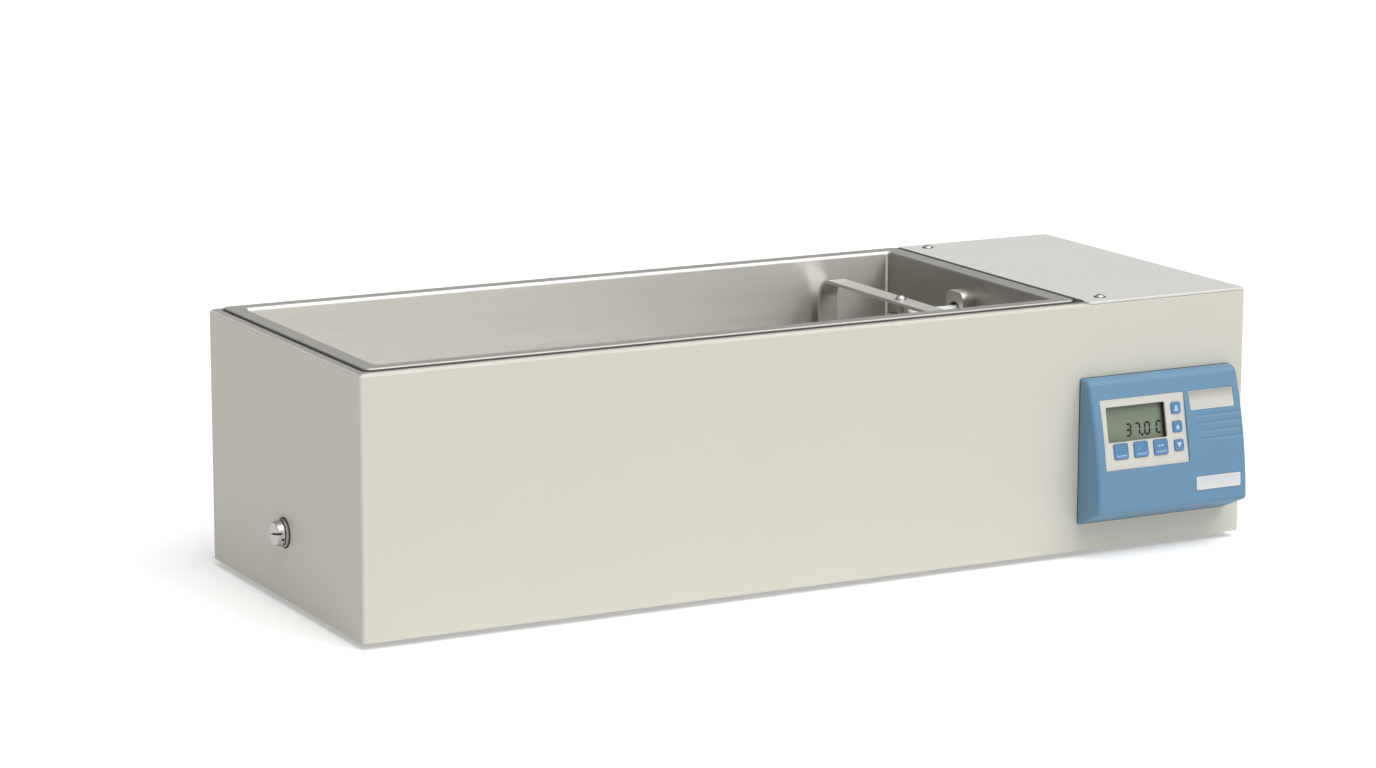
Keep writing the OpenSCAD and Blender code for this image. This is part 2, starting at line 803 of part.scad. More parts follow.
module console_shell() {
    frame_z = -panel_t - frame_t;
    color(blue) in_case() difference() {
        union() {
            difference() {
                console_form(0, 16, 0);
                console_form(console_wall, 8, over);
            }
            on_panel() centred_slab(panel_w + 2 * frame_border, panel_h + 2 * frame_border,
                2, frame_z, -0.2);
            on_panel() panel_posts() translate([0, 0, board_top])
                cylinder(h = frame_z + frame_t / 2 - board_top, d = post_d);
            for (x = [console_x0 + console_boss_in, console_x1 - console_boss_in]) {
                rod_y(-reach_at(boss_low) + console_wall / 2, 0, console_boss_d, x, boss_low);
                rod_y(-reach_at(boss_high) + console_wall, 0, console_boss_d, x, boss_high);
            }
        }
        on_panel() {
            centred_slab(panel_w + 2 * fit_gap, panel_h + 2 * fit_gap, 1.2, -panel_t, 6);
            centred_slab(panel_w - 2 * ledge_in, panel_h - 2 * ledge_in, 1,
                frame_z - over, 6);
            panel_posts() translate([0, 0, board_top - over])
                cylinder(h = over + 4.2, d = m3 + 2 * run_gap);
        }
        console_screw_places() translate([0, 0, -console_screw_len])
            cylinder(h = console_screw_len + over, d = m4 + 2 * run_gap);
        on_skin(badge_x, badge_z)
            centred_slab(badge_w + 2 * fit_gap, badge_h + 2 * fit_gap, 1, -badge_pocket, 6);
        on_skin(name_x, name_z)
            centred_slab(badge_w + 2 * fit_gap, name_h + 2 * fit_gap, 1.5, -name_pocket, 6);
        for (i = [0:groove_count - 1]) console_groove(groove_z - i * groove_pitch);
    }
}

// A finger groove with a round left end, deeper to the right
module console_groove(z) {
    run = console_x1 - groove_x + 4;
    fall = atan((groove_end - groove_start) / run);
    on_skin(groove_x, z) translate([0, 0, groove_r - groove_start]) {
        sphere(groove_r, $fn = 16);
        rotate([0, 90 + fall, 0]) cylinder(h = run, r = groove_r, $fn = 24);
    }
}

module console_screws() {
    color(steel) in_case() {
        console_screw_places() translate([0, 0, case_wall])
            pan_screw(m4, console_screw_len, m4_head_d, m4_head_h);
        on_panel() panel_posts() translate([0, 0, board_top - board_t]) rotate([180, 0, 0])
            pan_screw(m3, 5, m3_head_d, m3_head_h);
    }
}

module key_hole(x, y, w, h) {
    translate([x, y, 0]) centred_slab(w + 2 * key_gap, h + 2 * key_gap,
        key_corner, -panel_t - over, over);
}

module keypad_plate() {
    color(cream) in_case() on_panel() difference() {
        centred_slab(panel_w, panel_h, 1, -panel_t, 0);
        translate([window_x, window_y, 0])
            centred_slab(window_w, window_h, 1.2, -panel_t - over, over);
        for (i = [0:2]) key_hole(key_x0 + i * key_pitch, key_y, key_w, key_h);
        for (i = [-1:1]) key_hole(small_x, small_y - small_pitch * (1 - i), small_key,
            small_key);
    }
}

module display_cell() {
    color([0.50, 0.55, 0.46]) in_case() on_panel() translate([window_x, window_y, 0])
        centred_slab(window_w + 2 * cell_side, window_h + 2 * cell_border, 0.5,
            board_top + run_gap, board_top + run_gap + display_t);
}

// Holds the display on the board below the keys' travel. Its neck frames the window.
module display_holder() {
    top = key_back - key_travel - 2 * run_gap;
    pocket_w = window_w + 2 * cell_side + seat_gap;
    pocket_h = window_h + 2 * cell_border + seat_gap;
    color(black) in_case() on_panel() translate([window_x, window_y, 0]) difference() {
        union() {
            centred_slab(pocket_w + 2 * holder_wall, pocket_h + 2 * holder_wall, 0.8,
                board_top + run_gap, top);
            centred_slab(window_w + 2 * neck_wall, window_h + 2 * neck_wall,
                1.2 + neck_wall, top - 0.1, -panel_t - run_gap);
        }
        centred_slab(pocket_w, pocket_h, 0.5, board_top - over,
            board_top + display_t + 2 * run_gap);
        centred_slab(window_w, window_h, 1.2, board_top - over, over);
    }
}

module control_board() {
    color(board_green) in_case() on_panel() difference() {
        union() {
            centred_slab(board_w, board_h, 1, board_top - board_t, board_top);
            translate([window_x, -board_h / 2 + 8, board_top - board_t - 3.5])
                cube([24, 7, 4]);
        }
        panel_posts() translate([0, 0, board_top - board_t - over])
            cylinder(h = board_t + 2 * over, d = m3 + screw_play);
    }
}

// Runs its child at each key, large ones first
module key_places() {
    for (i = [0:2]) translate([key_x0 + i * key_pitch, key_y, 0]) children();
    for (i = [0:2]) translate([small_x, small_y - i * small_pitch, 0]) children();
}

module key_switches() {
    top = key_back - key_travel - run_gap;
    color(dark_steel) in_case() on_panel() key_places() {
        centred_slab(6, 6, 0.5, board_top + run_gap, (board_top + top) / 2);
        translate([0, 0, (board_top + top) / 2 - 0.1])
            cylinder(h = (top - board_top) / 2 + 0.1, d = 3.4);
    }
}

// A key cap that stands through the plate on a flange, its lower edge bevelled
module key_cap(x, y, w, h) {
    bevel = 1.6;
    color(key_blue) in_case() on_panel() translate([x, y, 0]) difference() {
        union() {
            centred_slab(w, h, key_corner, key_back + 0.2, key_rise);
            centred_slab(w + 2 * key_flange, h + 2 * key_flange, key_corner, key_back,
                key_back + key_flange_t);
        }
        translate([-w, -h / 2, key_rise - bevel / 2]) rotate([-60, 0, 0])
            translate([0, -5, 0]) cube([2 * w, 5, 5]);
    }
}

module key_left() { key_cap(key_x0, key_y, key_w, key_h); }
module key_middle() { key_cap(key_x0 + key_pitch, key_y, key_w, key_h); }
module key_right() { key_cap(key_x0 + 2 * key_pitch, key_y, key_w, key_h); }
module key_up() { key_cap(small_x, small_y, small_key, small_key); }
module key_select() { key_cap(small_x, small_y - small_pitch, small_key, small_key); }
module key_down() { key_cap(small_x, small_y - 2 * small_pitch, small_key, small_key); }

module upper_plate() {
    color(steel) in_case() on_skin(badge_x, badge_z)
        centred_slab(badge_w, badge_h, 0.8, -badge_pocket, badge_t - badge_pocket);
}

module lower_plate() {
    color(white) in_case() on_skin(name_x, name_z)
        centred_slab(badge_w, name_h, 1.4, -name_pocket, name_t - name_pocket);
}

module drain_fitting() {
    color(steel) in_case() difference() {
        union() {
            rod_x(-gasket_t - flange_lip, -gasket_t, drain_flange_d, mid_y, drain_z);
            translate([-gasket_t - flange_t, mid_y, drain_z]) rotate([0, 90, 0])
                cylinder(h = flange_t - flange_lip + 0.01, d1 = plug_base_d + 0.4,
                    d2 = drain_flange_d);
            rod_x(-gasket_t - 0.1, tank_x0 + drain_nut_h + 1, fitting_d, mid_y, drain_z);
        }
        rod_x(-plug_reach, tank_x0 + 2 * drain_nut_h, drain_bore, mid_y, drain_z);
    }
}

module drain_nut() {
    color(steel) in_case() difference() {
        translate([tank_x0, mid_y, drain_z]) rotate([0, 90, 0]) rotate(30)
            cylinder(h = drain_nut_h, d = drain_nut_d, $fn = 6);
        rod_x(0, tank_x0 + 2 * drain_nut_h, fitting_d + 2 * run_gap, mid_y, drain_z);
    }
}

module drain_gasket() {
    color(black) in_case() difference() {
        rod_x(-gasket_t, 0, drain_flange_d + 1.6, mid_y, drain_z);
        rod_x(-gasket_t - over, over, fitting_d + 2 * run_gap, mid_y, drain_z);
    }
}

module drain_washer() {
    x1 = -gasket_t - flange_t - washer_gap;
    color(black) in_case() difference() {
        rod_x(x1 - washer_t, x1, plug_d - 3, mid_y, drain_z);
        rod_x(x1 - 2 * over, x1 + over, drain_bore + 0.4, mid_y, drain_z);
    }
}

// The plug: its cap widens to the flange and takes a coin slot and a tommy bar
module drain_plug() {
    cap_x1 = -gasket_t - flange_t - 2 * washer_gap - washer_t;
    cap_len = plug_reach + cap_x1;
    color(steel) in_case() difference() {
        union() {
            translate([-plug_reach, mid_y, drain_z]) rotate([0, 90, 0]) rotate_extrude() {
                translate([0, plug_edge]) polygon([[0, 0], [plug_d / 2, 0],
                    [plug_base_d / 2, cap_len - plug_edge], [0, cap_len - plug_edge]]);
                square([plug_d / 2 - plug_edge, 2 * plug_edge]);
                intersection() {
                    translate([plug_d / 2 - plug_edge, plug_edge]) circle(plug_edge);
                    square([plug_d, plug_edge + 0.1]);
                }
            }
            rod_x(cap_x1 - 0.1, 12, drain_bore - 2 * run_gap, mid_y, drain_z);
        }
        translate([-plug_reach, mid_y, drain_z]) rotate([slot_angle, 0, 0])
            translate([-over, -plug_d, -slot_w / 2])
            cube([over + slot_depth, 2 * plug_d, slot_w]);
        translate([cap_x1 - 0.4 - tommy_d / 2, mid_y, drain_z])
            rotate([90 + slot_angle + tommy_turn, 0, 0])
            cylinder(h = 2 * plug_d, d = tommy_d, $fn = 16, center = true);
    }
}

// The hanger's side view: an arch of flat bar
module arch(y0, y1, z0, z1, r) {
    translate([y0, z0]) square([y1 - y0, z1 - z0 - r]);
    translate([y0 + r, z0]) square([y1 - y0 - 2 * r, z1 - z0]);
    for (y = [y0 + r, y1 - r]) translate([y, z1 - r]) circle(r);
}

module hanger() {
    color(steel) in_case() difference() {
        along_x(bar_x - bar_w / 2) linear_extrude(bar_w) difference() {
            arch(leg_y0, leg_y1, tray_low, bar_top, bar_bend);
            arch(leg_y0 + bar_t, leg_y1 - bar_t, tray_low - over, bar_top - bar_t,
                bar_bend - bar_t);
        }
        translate([bar_x, mid_y, bar_top - bar_t - over])
            cylinder(h = bar_t + 2 * over, d = m5 + screw_play);
        for (z = tray_screw_z) rod_y(leg_y0 - over, leg_y1 + over, m5 + screw_play, bar_x, z);
    }
}

module nut(d, across, h) {
    difference() {
        cylinder(h = h, d = across / cos(30), $fn = 6);
        translate([0, 0, -over]) cylinder(h = h + 2 * over, d = d + 2 * run_gap);
    }
}

module hanger_fasteners() {
    color(steel) in_case() translate([bar_x, mid_y, 0]) {
        translate([0, 0, bar_top + washer_h]) button_screw(m5, hanger_screw_len, m5_head_d, 3.4);
        translate([0, 0, bar_top]) difference() {
            cylinder(h = washer_h - run_gap, d = m5_head_d + 1);
            translate([0, 0, -over]) cylinder(h = 3 * over, d = m5 + 2 * run_gap);
        }
        translate([0, 0, bar_top - bar_t - m5_nut_h]) nut(m5, m5_nut, m5_nut_h);
    }
}

module drive_sleeve() {
    chamfer = 1.5;
    r = sleeve_d / 2;
    len = sleeve_x1 - sleeve_x0;
    color(white) in_case() translate([sleeve_x0, mid_y, rod_z]) rotate([0, 90, 0])
        rotate_extrude() polygon([[rod_d / 2 + run_gap, 0], [r - chamfer, 0], [r, chamfer],
            [r, len - chamfer], [r - chamfer, len], [rod_d / 2 + run_gap, len]]);
}

module push_rod() {
    eye_x = bar_x - eye_len / 2 - 2;
    slot = conrod_t + 2 * fork_gap;
    color(steel) in_case() difference() {
        union() {
            rod_x(eye_x + 1, fork_x0 + 2, rod_d, mid_y, rod_z);
            translate([eye_x, mid_y - eye_w / 2, rod_z - eye_h / 2])
                cube([eye_len, eye_w, eye_h]);
            translate([fork_x0, mid_y - fork_w / 2, rod_z - fork_h / 2])
                cube([fork_x1 - fork_x0, fork_w, fork_h]);
        }
        translate([bar_x, mid_y, rod_z - eye_h])
            cylinder(h = 2 * eye_h, d = m5 + 2 * run_gap);
        translate([wrist_x - small_end_r - 3, mid_y - fork_w, rod_z - slot / 2])
            cube([fork_x1, 2 * fork_w, slot]);
        translate([wrist_x, mid_y, rod_z - fork_h])
            cylinder(h = 2 * fork_h, d = wrist_d + 2 * run_gap);
    }
}

module wrist_pin() {
    color(dark_steel) in_case() translate([wrist_x, mid_y, rod_z]) {
        translate([0, 0, -fork_h / 2 - 2]) cylinder(h = fork_h + 3, d = wrist_d);
        translate([0, 0, fork_h / 2]) cylinder(h = 1.5, d = wrist_d + 3);
    }
}

module tray() {
    color(steel) in_case() difference() {
        slab(tray_x0, tray_y0, tray_x1, tray_y1, 3, tray_low, tray_top);
        slab(tray_x0 + tray_t, tray_y0 + tray_t, tray_x1 - tray_t, tray_y1 - tray_t,
            3 - tray_t, tray_low - over, tray_top - tray_t);
        translate([0, 0, tray_top - tray_t - over]) linear_extrude(tray_t + 2 * over) {
            for (i = [0:clamp_cols - 1], j = [0:clamp_rows - 1])
                translate([clamp_x0 + i * clamp_pitch, clamp_y0 + j * clamp_pitch])
                    circle(d = clamp_d);
            for (i = [0:clamp_cols - 2], j = [0:clamp_rows - 2])
                translate([clamp_x0 + (i + 0.5) * clamp_pitch,
                    clamp_y0 + (j + 0.5) * clamp_pitch]) circle(d = flow_d);
        }
        for (x = axle_x) rod_y(tray_y0 - over, tray_y1 + over, axle_d + 2 * fit_gap, x, axle_z);
        for (z = tray_screw_z) rod_y(tray_y0 - over, tray_y1 + over, m5 + screw_play, bar_x, z);
    }
}

module tray_screws() {
    color(steel) in_case() for (z = tray_screw_z) {
        translate([bar_x, leg_y0, z]) rotate([90, 0, 0])
            button_screw(m5, tray_screw_len, m5_head_d, m5_head_h);
        translate([bar_x, leg_y1, z]) rotate([-90, 0, 0])
            button_screw(m5, tray_screw_len, m5_head_d, m5_head_h);
        translate([bar_x, tray_y0 + tray_t, z]) rotate([-90, 0, 0]) nut(m5, m5_nut, m5_nut_h);
        translate([bar_x, tray_y1 - tray_t, z]) rotate([90, 0, 0]) nut(m5, m5_nut, m5_nut_h);
    }
}

module tray_axles() {
    color(steel) in_case() for (x = axle_x) {
        rod_y(tray_y0 - axle_head_t, tray_y1 + axle_head_t, axle_d, x, axle_z);
        rod_y(tray_y0 - axle_head_t, tray_y0, axle_head_d, x, axle_z);
        rod_y(tray_y1, tray_y1 + axle_head_t, axle_head_d, x, axle_z);
    }
}

// A roller: y is its outer hub face and dir points to the middle of the tray
module roller(x, y, dir) {
    color(white) in_case() translate([x, y, axle_z]) rotate([-90 * dir, 0, 0])
        difference() {
            union() {
                cylinder(h = hub_len, d = roller_hub_d);
                translate([0, 0, (hub_len - roller_w) / 2])
                    cylinder(h = roller_w, d = roller_d);
            }
            translate([0, 0, -over]) cylinder(h = hub_len + 2 * over, d = axle_d + 2 * run_gap);
        }
}

roller_front = tray_y0 + tray_t + 0.4;
roller_rear = tray_y1 - tray_t - 0.4;
module roller_front_left() { roller(axle_x[0], roller_front, 1); }
module roller_front_right() { roller(axle_x[1], roller_front, 1); }
module roller_rear_left() { roller(axle_x[0], roller_rear, -1); }
module roller_rear_right() { roller(axle_x[1], roller_rear, -1); }

module guide_block() {
    color(steel) in_case() difference() {
        along_x(tank_x1 - block_t) linear_extrude(block_t)
            arch(mid_y - block_w / 2, mid_y + block_w / 2, rod_z - block_up,
                rod_z + block_up, block_r);
        rod_x(tank_x1 - block_t - over, tank_x1 + over, bush_d + 2 * run_gap, mid_y, rod_z);
        for (s = [-1, 1]) rod_x(tank_x1 - block_t + 1.5, tank_x1 + over, m4 + 2 * run_gap, mid_y,
            rod_z + s * guide_screw_off);
    }
}

module guide_bush() {
    flange_x = tank_x1 + tank_t;
    color(black) in_case() difference() {
        union() {
            rod_x(tank_x1 - block_t + bush_recess, flange_x + 0.1, bush_d, mid_y, rod_z);
            rod_x(flange_x, flange_x + bush_flange_t, bush_flange_d, mid_y, rod_z);
        }
        rod_x(tank_x1 - 2 * block_t, flange_x + 2 * bush_flange_t, sleeve_d + 2 * run_gap,
            mid_y, rod_z);
    }
}

// The connecting rod lies along X from the wrist pin and leans to the crank pin
module on_conrod() {
    translate([wrist_x, mid_y, rod_z]) rotate(-conrod_lean) children();
}

module connecting_rod() {
    color([0.75, 0.76, 0.78]) in_case() on_conrod() difference() {
        translate([0, 0, -conrod_t / 2]) linear_extrude(conrod_t) {
            circle(small_end_r);
            translate([conrod_len, 0]) circle(big_end_r);
            translate([0, -small_end_r * 0.7]) square([conrod_len, small_end_r * 1.4]);
        }
        cylinder(h = 2 * conrod_t, d = wrist_d + 2 * bush_wall, center = true);
        translate([conrod_len, 0, 0])
            cylinder(h = 2 * conrod_t, d = crank_pin_d + 2 * bush_wall, center = true);
    }
}

module rod_bushes() {
    color([0.72, 0.55, 0.30]) in_case() on_conrod()
        for (b = [[0, wrist_d], [conrod_len, crank_pin_d]]) translate([b[0], 0, 0])
            difference() {
                cylinder(h = conrod_t, d = b[1] + 2 * bush_wall - run_gap, center = true);
                cylinder(h = 2 * conrod_t, d = b[1] + 2 * run_gap, center = true);
            }
}

module crank_disc() {
    color(steel) in_case() difference() {
        union() {
            translate([crank_x, mid_y, disc_z]) cylinder(h = disc_t, d = crank_d);
            translate([crank_x, mid_y, disc_z - hub_h]) cylinder(h = hub_h + 0.1, d = hub_d);
        }
        translate([crank_x, mid_y, disc_z - hub_h - over])
            cylinder(h = hub_h + disc_t + 2 * over, d = shaft_d + 2 * run_gap);
        translate([crank_pin_x, crank_pin_y, disc_z - over])
            cylinder(h = disc_t + 2 * over, d = crank_pin_d + 2 * run_gap);
    }
}

// The crank pin stops just short of the connecting rod, so both turn freely
module crank_pin() {
    color(dark_steel) in_case() translate([crank_pin_x, crank_pin_y, disc_z])
        cylinder(h = rod_z - conrod_t / 2 - pin_short - disc_z, d = crank_pin_d);
}

module output_shaft() {
    color(dark_steel) in_case() translate([crank_x, mid_y, box_top - box_h + box_floor])
        cylinder(h = disc_top - 1 - (box_top - box_h + box_floor), d = shaft_d);
}

module gearbox() {
    color(dark_steel) in_case() difference() {
        union() {
            slab(crank_x - box_w / 2, mid_y - box_len / 2 + box_shift, crank_x + box_w / 2,
                mid_y + box_len / 2 + box_shift, 6, box_top - box_h, box_top);
            translate([crank_x, mid_y, box_top - 0.1])
                cylinder(h = box_boss_h + 0.1, d = box_boss_d);
        }
        translate([crank_x, mid_y, box_top - box_h + box_floor - 0.3])
            cylinder(h = box_h + 2 * box_boss_h, d = shaft_d + 2 * run_gap);
        gearbox_screw_places() translate([0, 0, -m4_len])
            cylinder(h = m4_len + over, d = m4 + 2 * run_gap);
    }
}

module gearbox_screw_places() {
    for (x = [-box_w / 2, box_w / 2], y = box_screw_y)
        translate([crank_x + x - sign(x) * box_screw_in, mid_y + y, box_top]) children();
}

module bracket_screw_places() {
    for (x = [-1, 1], y = [-bracket_hole_y, bracket_hole_y]) translate([crank_x
        + x * (bracket_half + bracket_foot / 2), mid_y + y, pan_top]) children();
}

module motor() {
    motor_y = mid_y + box_shift + motor_shift;
    low = box_top - box_h - motor_h;
    color([0.30, 0.31, 0.33]) in_case() translate([crank_x, motor_y, 0]) difference() {
        union() {
            translate([0, 0, low]) cylinder(h = motor_h, d = motor_d);
            translate([0, 0, low - motor_bell_h])
                cylinder(h = motor_bell_h + over, d = motor_d / 2);
        }
        for (a = [0:60:300]) rotate(a)
            translate([motor_d / 2 - 1.3 * motor_vent_d, 0, low - over])
                cylinder(h = motor_vent_d, d = motor_vent_d);
    }
}

module motor_bracket() {
    x0 = crank_x - bracket_half;
    x1 = crank_x + bracket_half;
    y0 = mid_y - bracket_w / 2;
    color(steel) in_case() difference() {
        union() {
            translate([x0, y0, box_top]) cube([x1 - x0, bracket_w, bracket_t]);
            translate([x0, y0, pan_top]) cube([bracket_t, bracket_w, box_top - pan_top + 0.1]);
            translate([x1 - bracket_t, y0, pan_top])
                cube([bracket_t, bracket_w, box_top - pan_top + 0.1]);
            translate([x0 - bracket_foot, y0, pan_top])
                cube([bracket_foot + 0.1, bracket_w, bracket_t]);
            translate([x1 - 0.1, y0, pan_top])
                cube([bracket_foot + 0.1, bracket_w, bracket_t]);
        }
        translate([crank_x, mid_y, box_top - over])
            cylinder(h = bracket_t + 2 * over, d = box_boss_d + 1);
        gearbox_screw_places() translate([0, 0, -over])
            cylinder(h = bracket_t + 2 * over, d = m4 + screw_play);
        bracket_screw_places() translate([0, 0, -over])
            cylinder(h = bracket_t + 2 * over, d = m4 + screw_play);
        along_x(x0 - over) linear_extrude(x1 - x0 + 2 * over)
            round_rect(mid_y - bracket_window[0] / 2, pan_top + bracket_window_z,
                mid_y + bracket_window[0] / 2, pan_top + bracket_window_z + bracket_window[1], 8);
    }
}

module drive_screws() {
    color(dark_steel) in_case() {
        gearbox_screw_places() translate([0, 0, bracket_t])
            pan_screw(m4, m4_len, m4_head_d, m4_head_h);
        bracket_screw_places() translate([0, 0, bracket_t])
            pan_screw(m4, bracket_screw_len, m4_head_d, m4_head_h);
        for (s = [-1, 1]) translate([tank_x1 + tank_t, mid_y, rod_z + s * guide_screw_off])
            rotate([0, 90, 0]) pan_screw(m4, m4_len, m4_head_d, m4_head_h);
    }
}

// A tubular heater folded under the tank floor, its two ends in the drive bay
module heater() {
    r = heater_pitch / 2;
    rows = [for (i = [0:3]) heater_y0 + i * heater_pitch];
    color(dark_steel) in_case() {
        rod_x(heater_x0, heater_end, heater_d, rows[0], heater_z);
        rod_x(heater_x0, heater_x1, heater_d, rows[1], heater_z);
        rod_x(heater_x0, heater_x1, heater_d, rows[2], heater_z);
        rod_x(heater_x0, heater_end, heater_d, rows[3], heater_z);
        heater_bend(heater_x0, rows[0] + r, 90);
        heater_bend(heater_x1, rows[1] + r, -90);
        heater_bend(heater_x0, rows[2] + r, 90);
    }
}

module heater_bend(x, y, turn) {
    translate([x, y, heater_z]) rotate(turn) rotate_extrude(angle = 180)
        translate([heater_pitch / 2, 0]) circle(d = heater_d);
}

module heater_clamps() {
    strap_z = heater_z - heater_d / 2 - heater_gap - clamp_bar_t;
    y0 = heater_y0 - heater_pitch / 2;
    color(steel) in_case() for (i = [0:2]) {
        x = heater_x0 + clamp_in + i * (heater_x1 - heater_x0 - 2 * clamp_in) / 2;
        slab(x - clamp_bar_w / 2, y0 - clamp_bar_w / 2, x + clamp_bar_w / 2,
            y0 + 4 * heater_pitch + clamp_bar_w / 2, 3, strap_z, strap_z + clamp_bar_t);
        for (j = [0:4]) translate([x, y0 + j * heater_pitch, strap_z])
            cylinder(h = tank_floor - tank_t - strap_z, d = clamp_post_d);
    }
}

module temperature_sensor() {
    x0 = tank_x1 + tank_t;
    color([0.75, 0.76, 0.78]) in_case() {
        translate([x0, sensor_y - sensor_w / 2, sensor_z - sensor_w / 2])
            cube([sensor_t, sensor_w, sensor_w]);
        rod_y(sensor_y - sensor_w / 2 - sensor_end, sensor_y + sensor_w / 2 + sensor_end,
            sensor_d, x0 + sensor_t / 2, sensor_z);
    }
}

// Controls the heater and the motor: transformer, relays, capacitor and terminals
module power_board() {
    x0 = case_len - board_right;
    y0 = case_depth - board_back;
    blocks = [[8, 12, 30, 26, 26], [46, 14, 18, 12, 16], [46, 32, 18, 12, 16],
        [34, 52, 32, 9, 11]];
    cap = [20, 50];
    cap_size = [12, 20];
    color(board_green) in_case() translate([x0, y0, pan_top]) {
        slab(0, 0, power_w, power_l, 2, standoff, standoff + board_t);
        for (x = [standoff_in, power_w - standoff_in], y = [standoff_in, power_l - standoff_in])
            translate([x, y, 0]) cylinder(h = standoff + 0.1, d = 6);
        for (b = blocks) translate([b[0], b[1], standoff + board_t - 0.1])
            cube([b[2], b[3], b[4]]);
        translate([cap[0], cap[1], standoff + board_t - 0.1])
            cylinder(h = cap_size[1], d = cap_size[0]);
    }
}

// Looks at the back wall from behind: X to the left, Z outwards
module on_rear(x) {
    translate([x, case_depth, inlet_z]) rotate([-90, 180, 0]) children();
}

module mains_inlet() {
    color(black) in_case() on_rear(inlet_x) difference() {
        union() {
            centred_slab(inlet_w, inlet_h, 1.5, -inlet_depth, 0.1);
            centred_slab(inlet_w + 2 * inlet_flange, inlet_h + 2 * inlet_flange, 2, 0, inlet_t);
        }
        difference() {
            centred_slab(inlet_w - 3.6, inlet_h - 4, 2.5, -inlet_depth + 2, inlet_t + over);
            for (p = inlet_pins) translate([p[0] - pin_t / 2, p[1] - pin_t, -inlet_depth])
                cube([pin_t, 2 * pin_t, inlet_depth - 1]);
        }
    }
}

module switch_frame() {
    color(black) in_case() on_rear(switch_x) {
        difference() {
            union() {
                centred_slab(inlet_w, inlet_h, 1.5, -inlet_depth, 0.1);
                centred_slab(inlet_w + 2 * inlet_flange, inlet_h + 2 * inlet_flange, 2, 0,
                    inlet_t);
            }
            centred_slab(rocker_len + 1, rocker_w + 0.6, 1, -inlet_depth + 4, inlet_t + over);
        }
        translate([0, 0, pivot_out]) rotate([90, 0, 0])
            cylinder(h = rocker_w + 1.6, d = rocker_pin_d, center = true);
    }
}

// Rocker: two faces that meet in a shallow valley over the pivot. At rest its
// raised end stands rocker_reach out of the casing's back.
rocker_half = rocker_len / 2 - 0.6;
rocker_lean = rocker_swing / 2;
pivot_out = rocker_reach - rocker_half * sin(rocker_lean) - rocker_face * cos(rocker_lean);
module switch_rocker() {
    color([0.20, 0.20, 0.20]) in_case() on_rear(switch_x) translate([0, 0, pivot_out])
        rotate([0, -rocker_lean, 0]) rotate([90, 0, 0]) translate([0, 0, -rocker_w / 2])
            linear_extrude(rocker_w) difference() {
                polygon([[-rocker_half, rocker_face], [0, rocker_face - 1],
                    [rocker_half, rocker_face], [rocker_half - 1, -rocker_sink],
                    [-rocker_half + 1, -rocker_sink]]);
                circle(d = rocker_pin_d + 2 * run_gap);
            }
}

casing();
base_pan();
base_screws();
feet();
tank();
tank_insulation();
top_cover();
cover_screws();
console_shell();
console_screws();
keypad_plate();
display_cell();
display_holder();
control_board();
key_switches();
key_left();
key_middle();
key_right();
key_up();
key_select();
key_down();
upper_plate();
lower_plate();
drain_fitting();
drain_nut();
drain_gasket();
drain_washer();
drain_plug();
hanger();
hanger_fasteners();
drive_sleeve();
push_rod();
wrist_pin();
tray();
tray_screws();
tray_axles();
roller_front_left();
roller_front_right();
roller_rear_left();
roller_rear_right();
guide_block();
guide_bush();
connecting_rod();
rod_bushes();
crank_disc();
crank_pin();
output_shaft();
gearbox();
motor();
motor_bracket();
drive_screws();
heater();
heater_clamps();
temperature_sensor();
power_board();
mains_inlet();
switch_frame();
switch_rocker();
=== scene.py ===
import json
import math

import bmesh
import bpy
from mathutils import Matrix, Vector


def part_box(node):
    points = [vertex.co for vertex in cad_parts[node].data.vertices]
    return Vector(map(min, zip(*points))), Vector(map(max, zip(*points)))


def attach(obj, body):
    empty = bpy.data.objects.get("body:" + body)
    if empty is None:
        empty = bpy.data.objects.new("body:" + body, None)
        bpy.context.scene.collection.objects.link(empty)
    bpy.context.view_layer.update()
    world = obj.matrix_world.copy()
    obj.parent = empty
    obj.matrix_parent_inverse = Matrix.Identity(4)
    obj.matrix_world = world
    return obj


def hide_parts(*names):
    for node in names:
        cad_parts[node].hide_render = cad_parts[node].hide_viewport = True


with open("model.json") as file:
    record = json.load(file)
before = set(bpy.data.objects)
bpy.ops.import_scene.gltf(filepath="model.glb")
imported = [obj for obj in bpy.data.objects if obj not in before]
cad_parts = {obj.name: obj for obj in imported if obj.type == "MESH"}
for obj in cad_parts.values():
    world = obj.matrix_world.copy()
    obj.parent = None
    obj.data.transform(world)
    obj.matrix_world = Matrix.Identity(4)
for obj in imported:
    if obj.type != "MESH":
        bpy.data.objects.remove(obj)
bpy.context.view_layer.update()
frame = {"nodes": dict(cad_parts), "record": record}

MM = 0.001
SCENE = bpy.context.scene

# The photograph's camera, solved from the straight edges of the casing
CAMERA_AT = Vector((-1.65305, -3.0215, 0.85205))
CAMERA_AZIMUTH = math.radians(27.97)
CAMERA_DROP = math.radians(11.51)
CAMERA_ROLL = math.radians(0.14)
CAMERA_LENS = 106.98
SENSOR_WIDTH = 36.0
CLIP_NEAR, CLIP_FAR = 0.05, 50.0

CASING_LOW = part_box("casing")[0]


# A place in millimetres from the casing's left, front and bottom
def in_case(x, y, z):
    return CASING_LOW + Vector((x, y, z)) * MM


# Linear colour of a colour written as it looks on a screen, 0 to 255
def seen(r, g, b):
    def linear(c):
        c /= 255.0
        return c / 12.92 if c <= 0.04045 else ((c + 0.055) / 1.055) ** 2.4
    return (linear(r), linear(g), linear(b), 1.0)


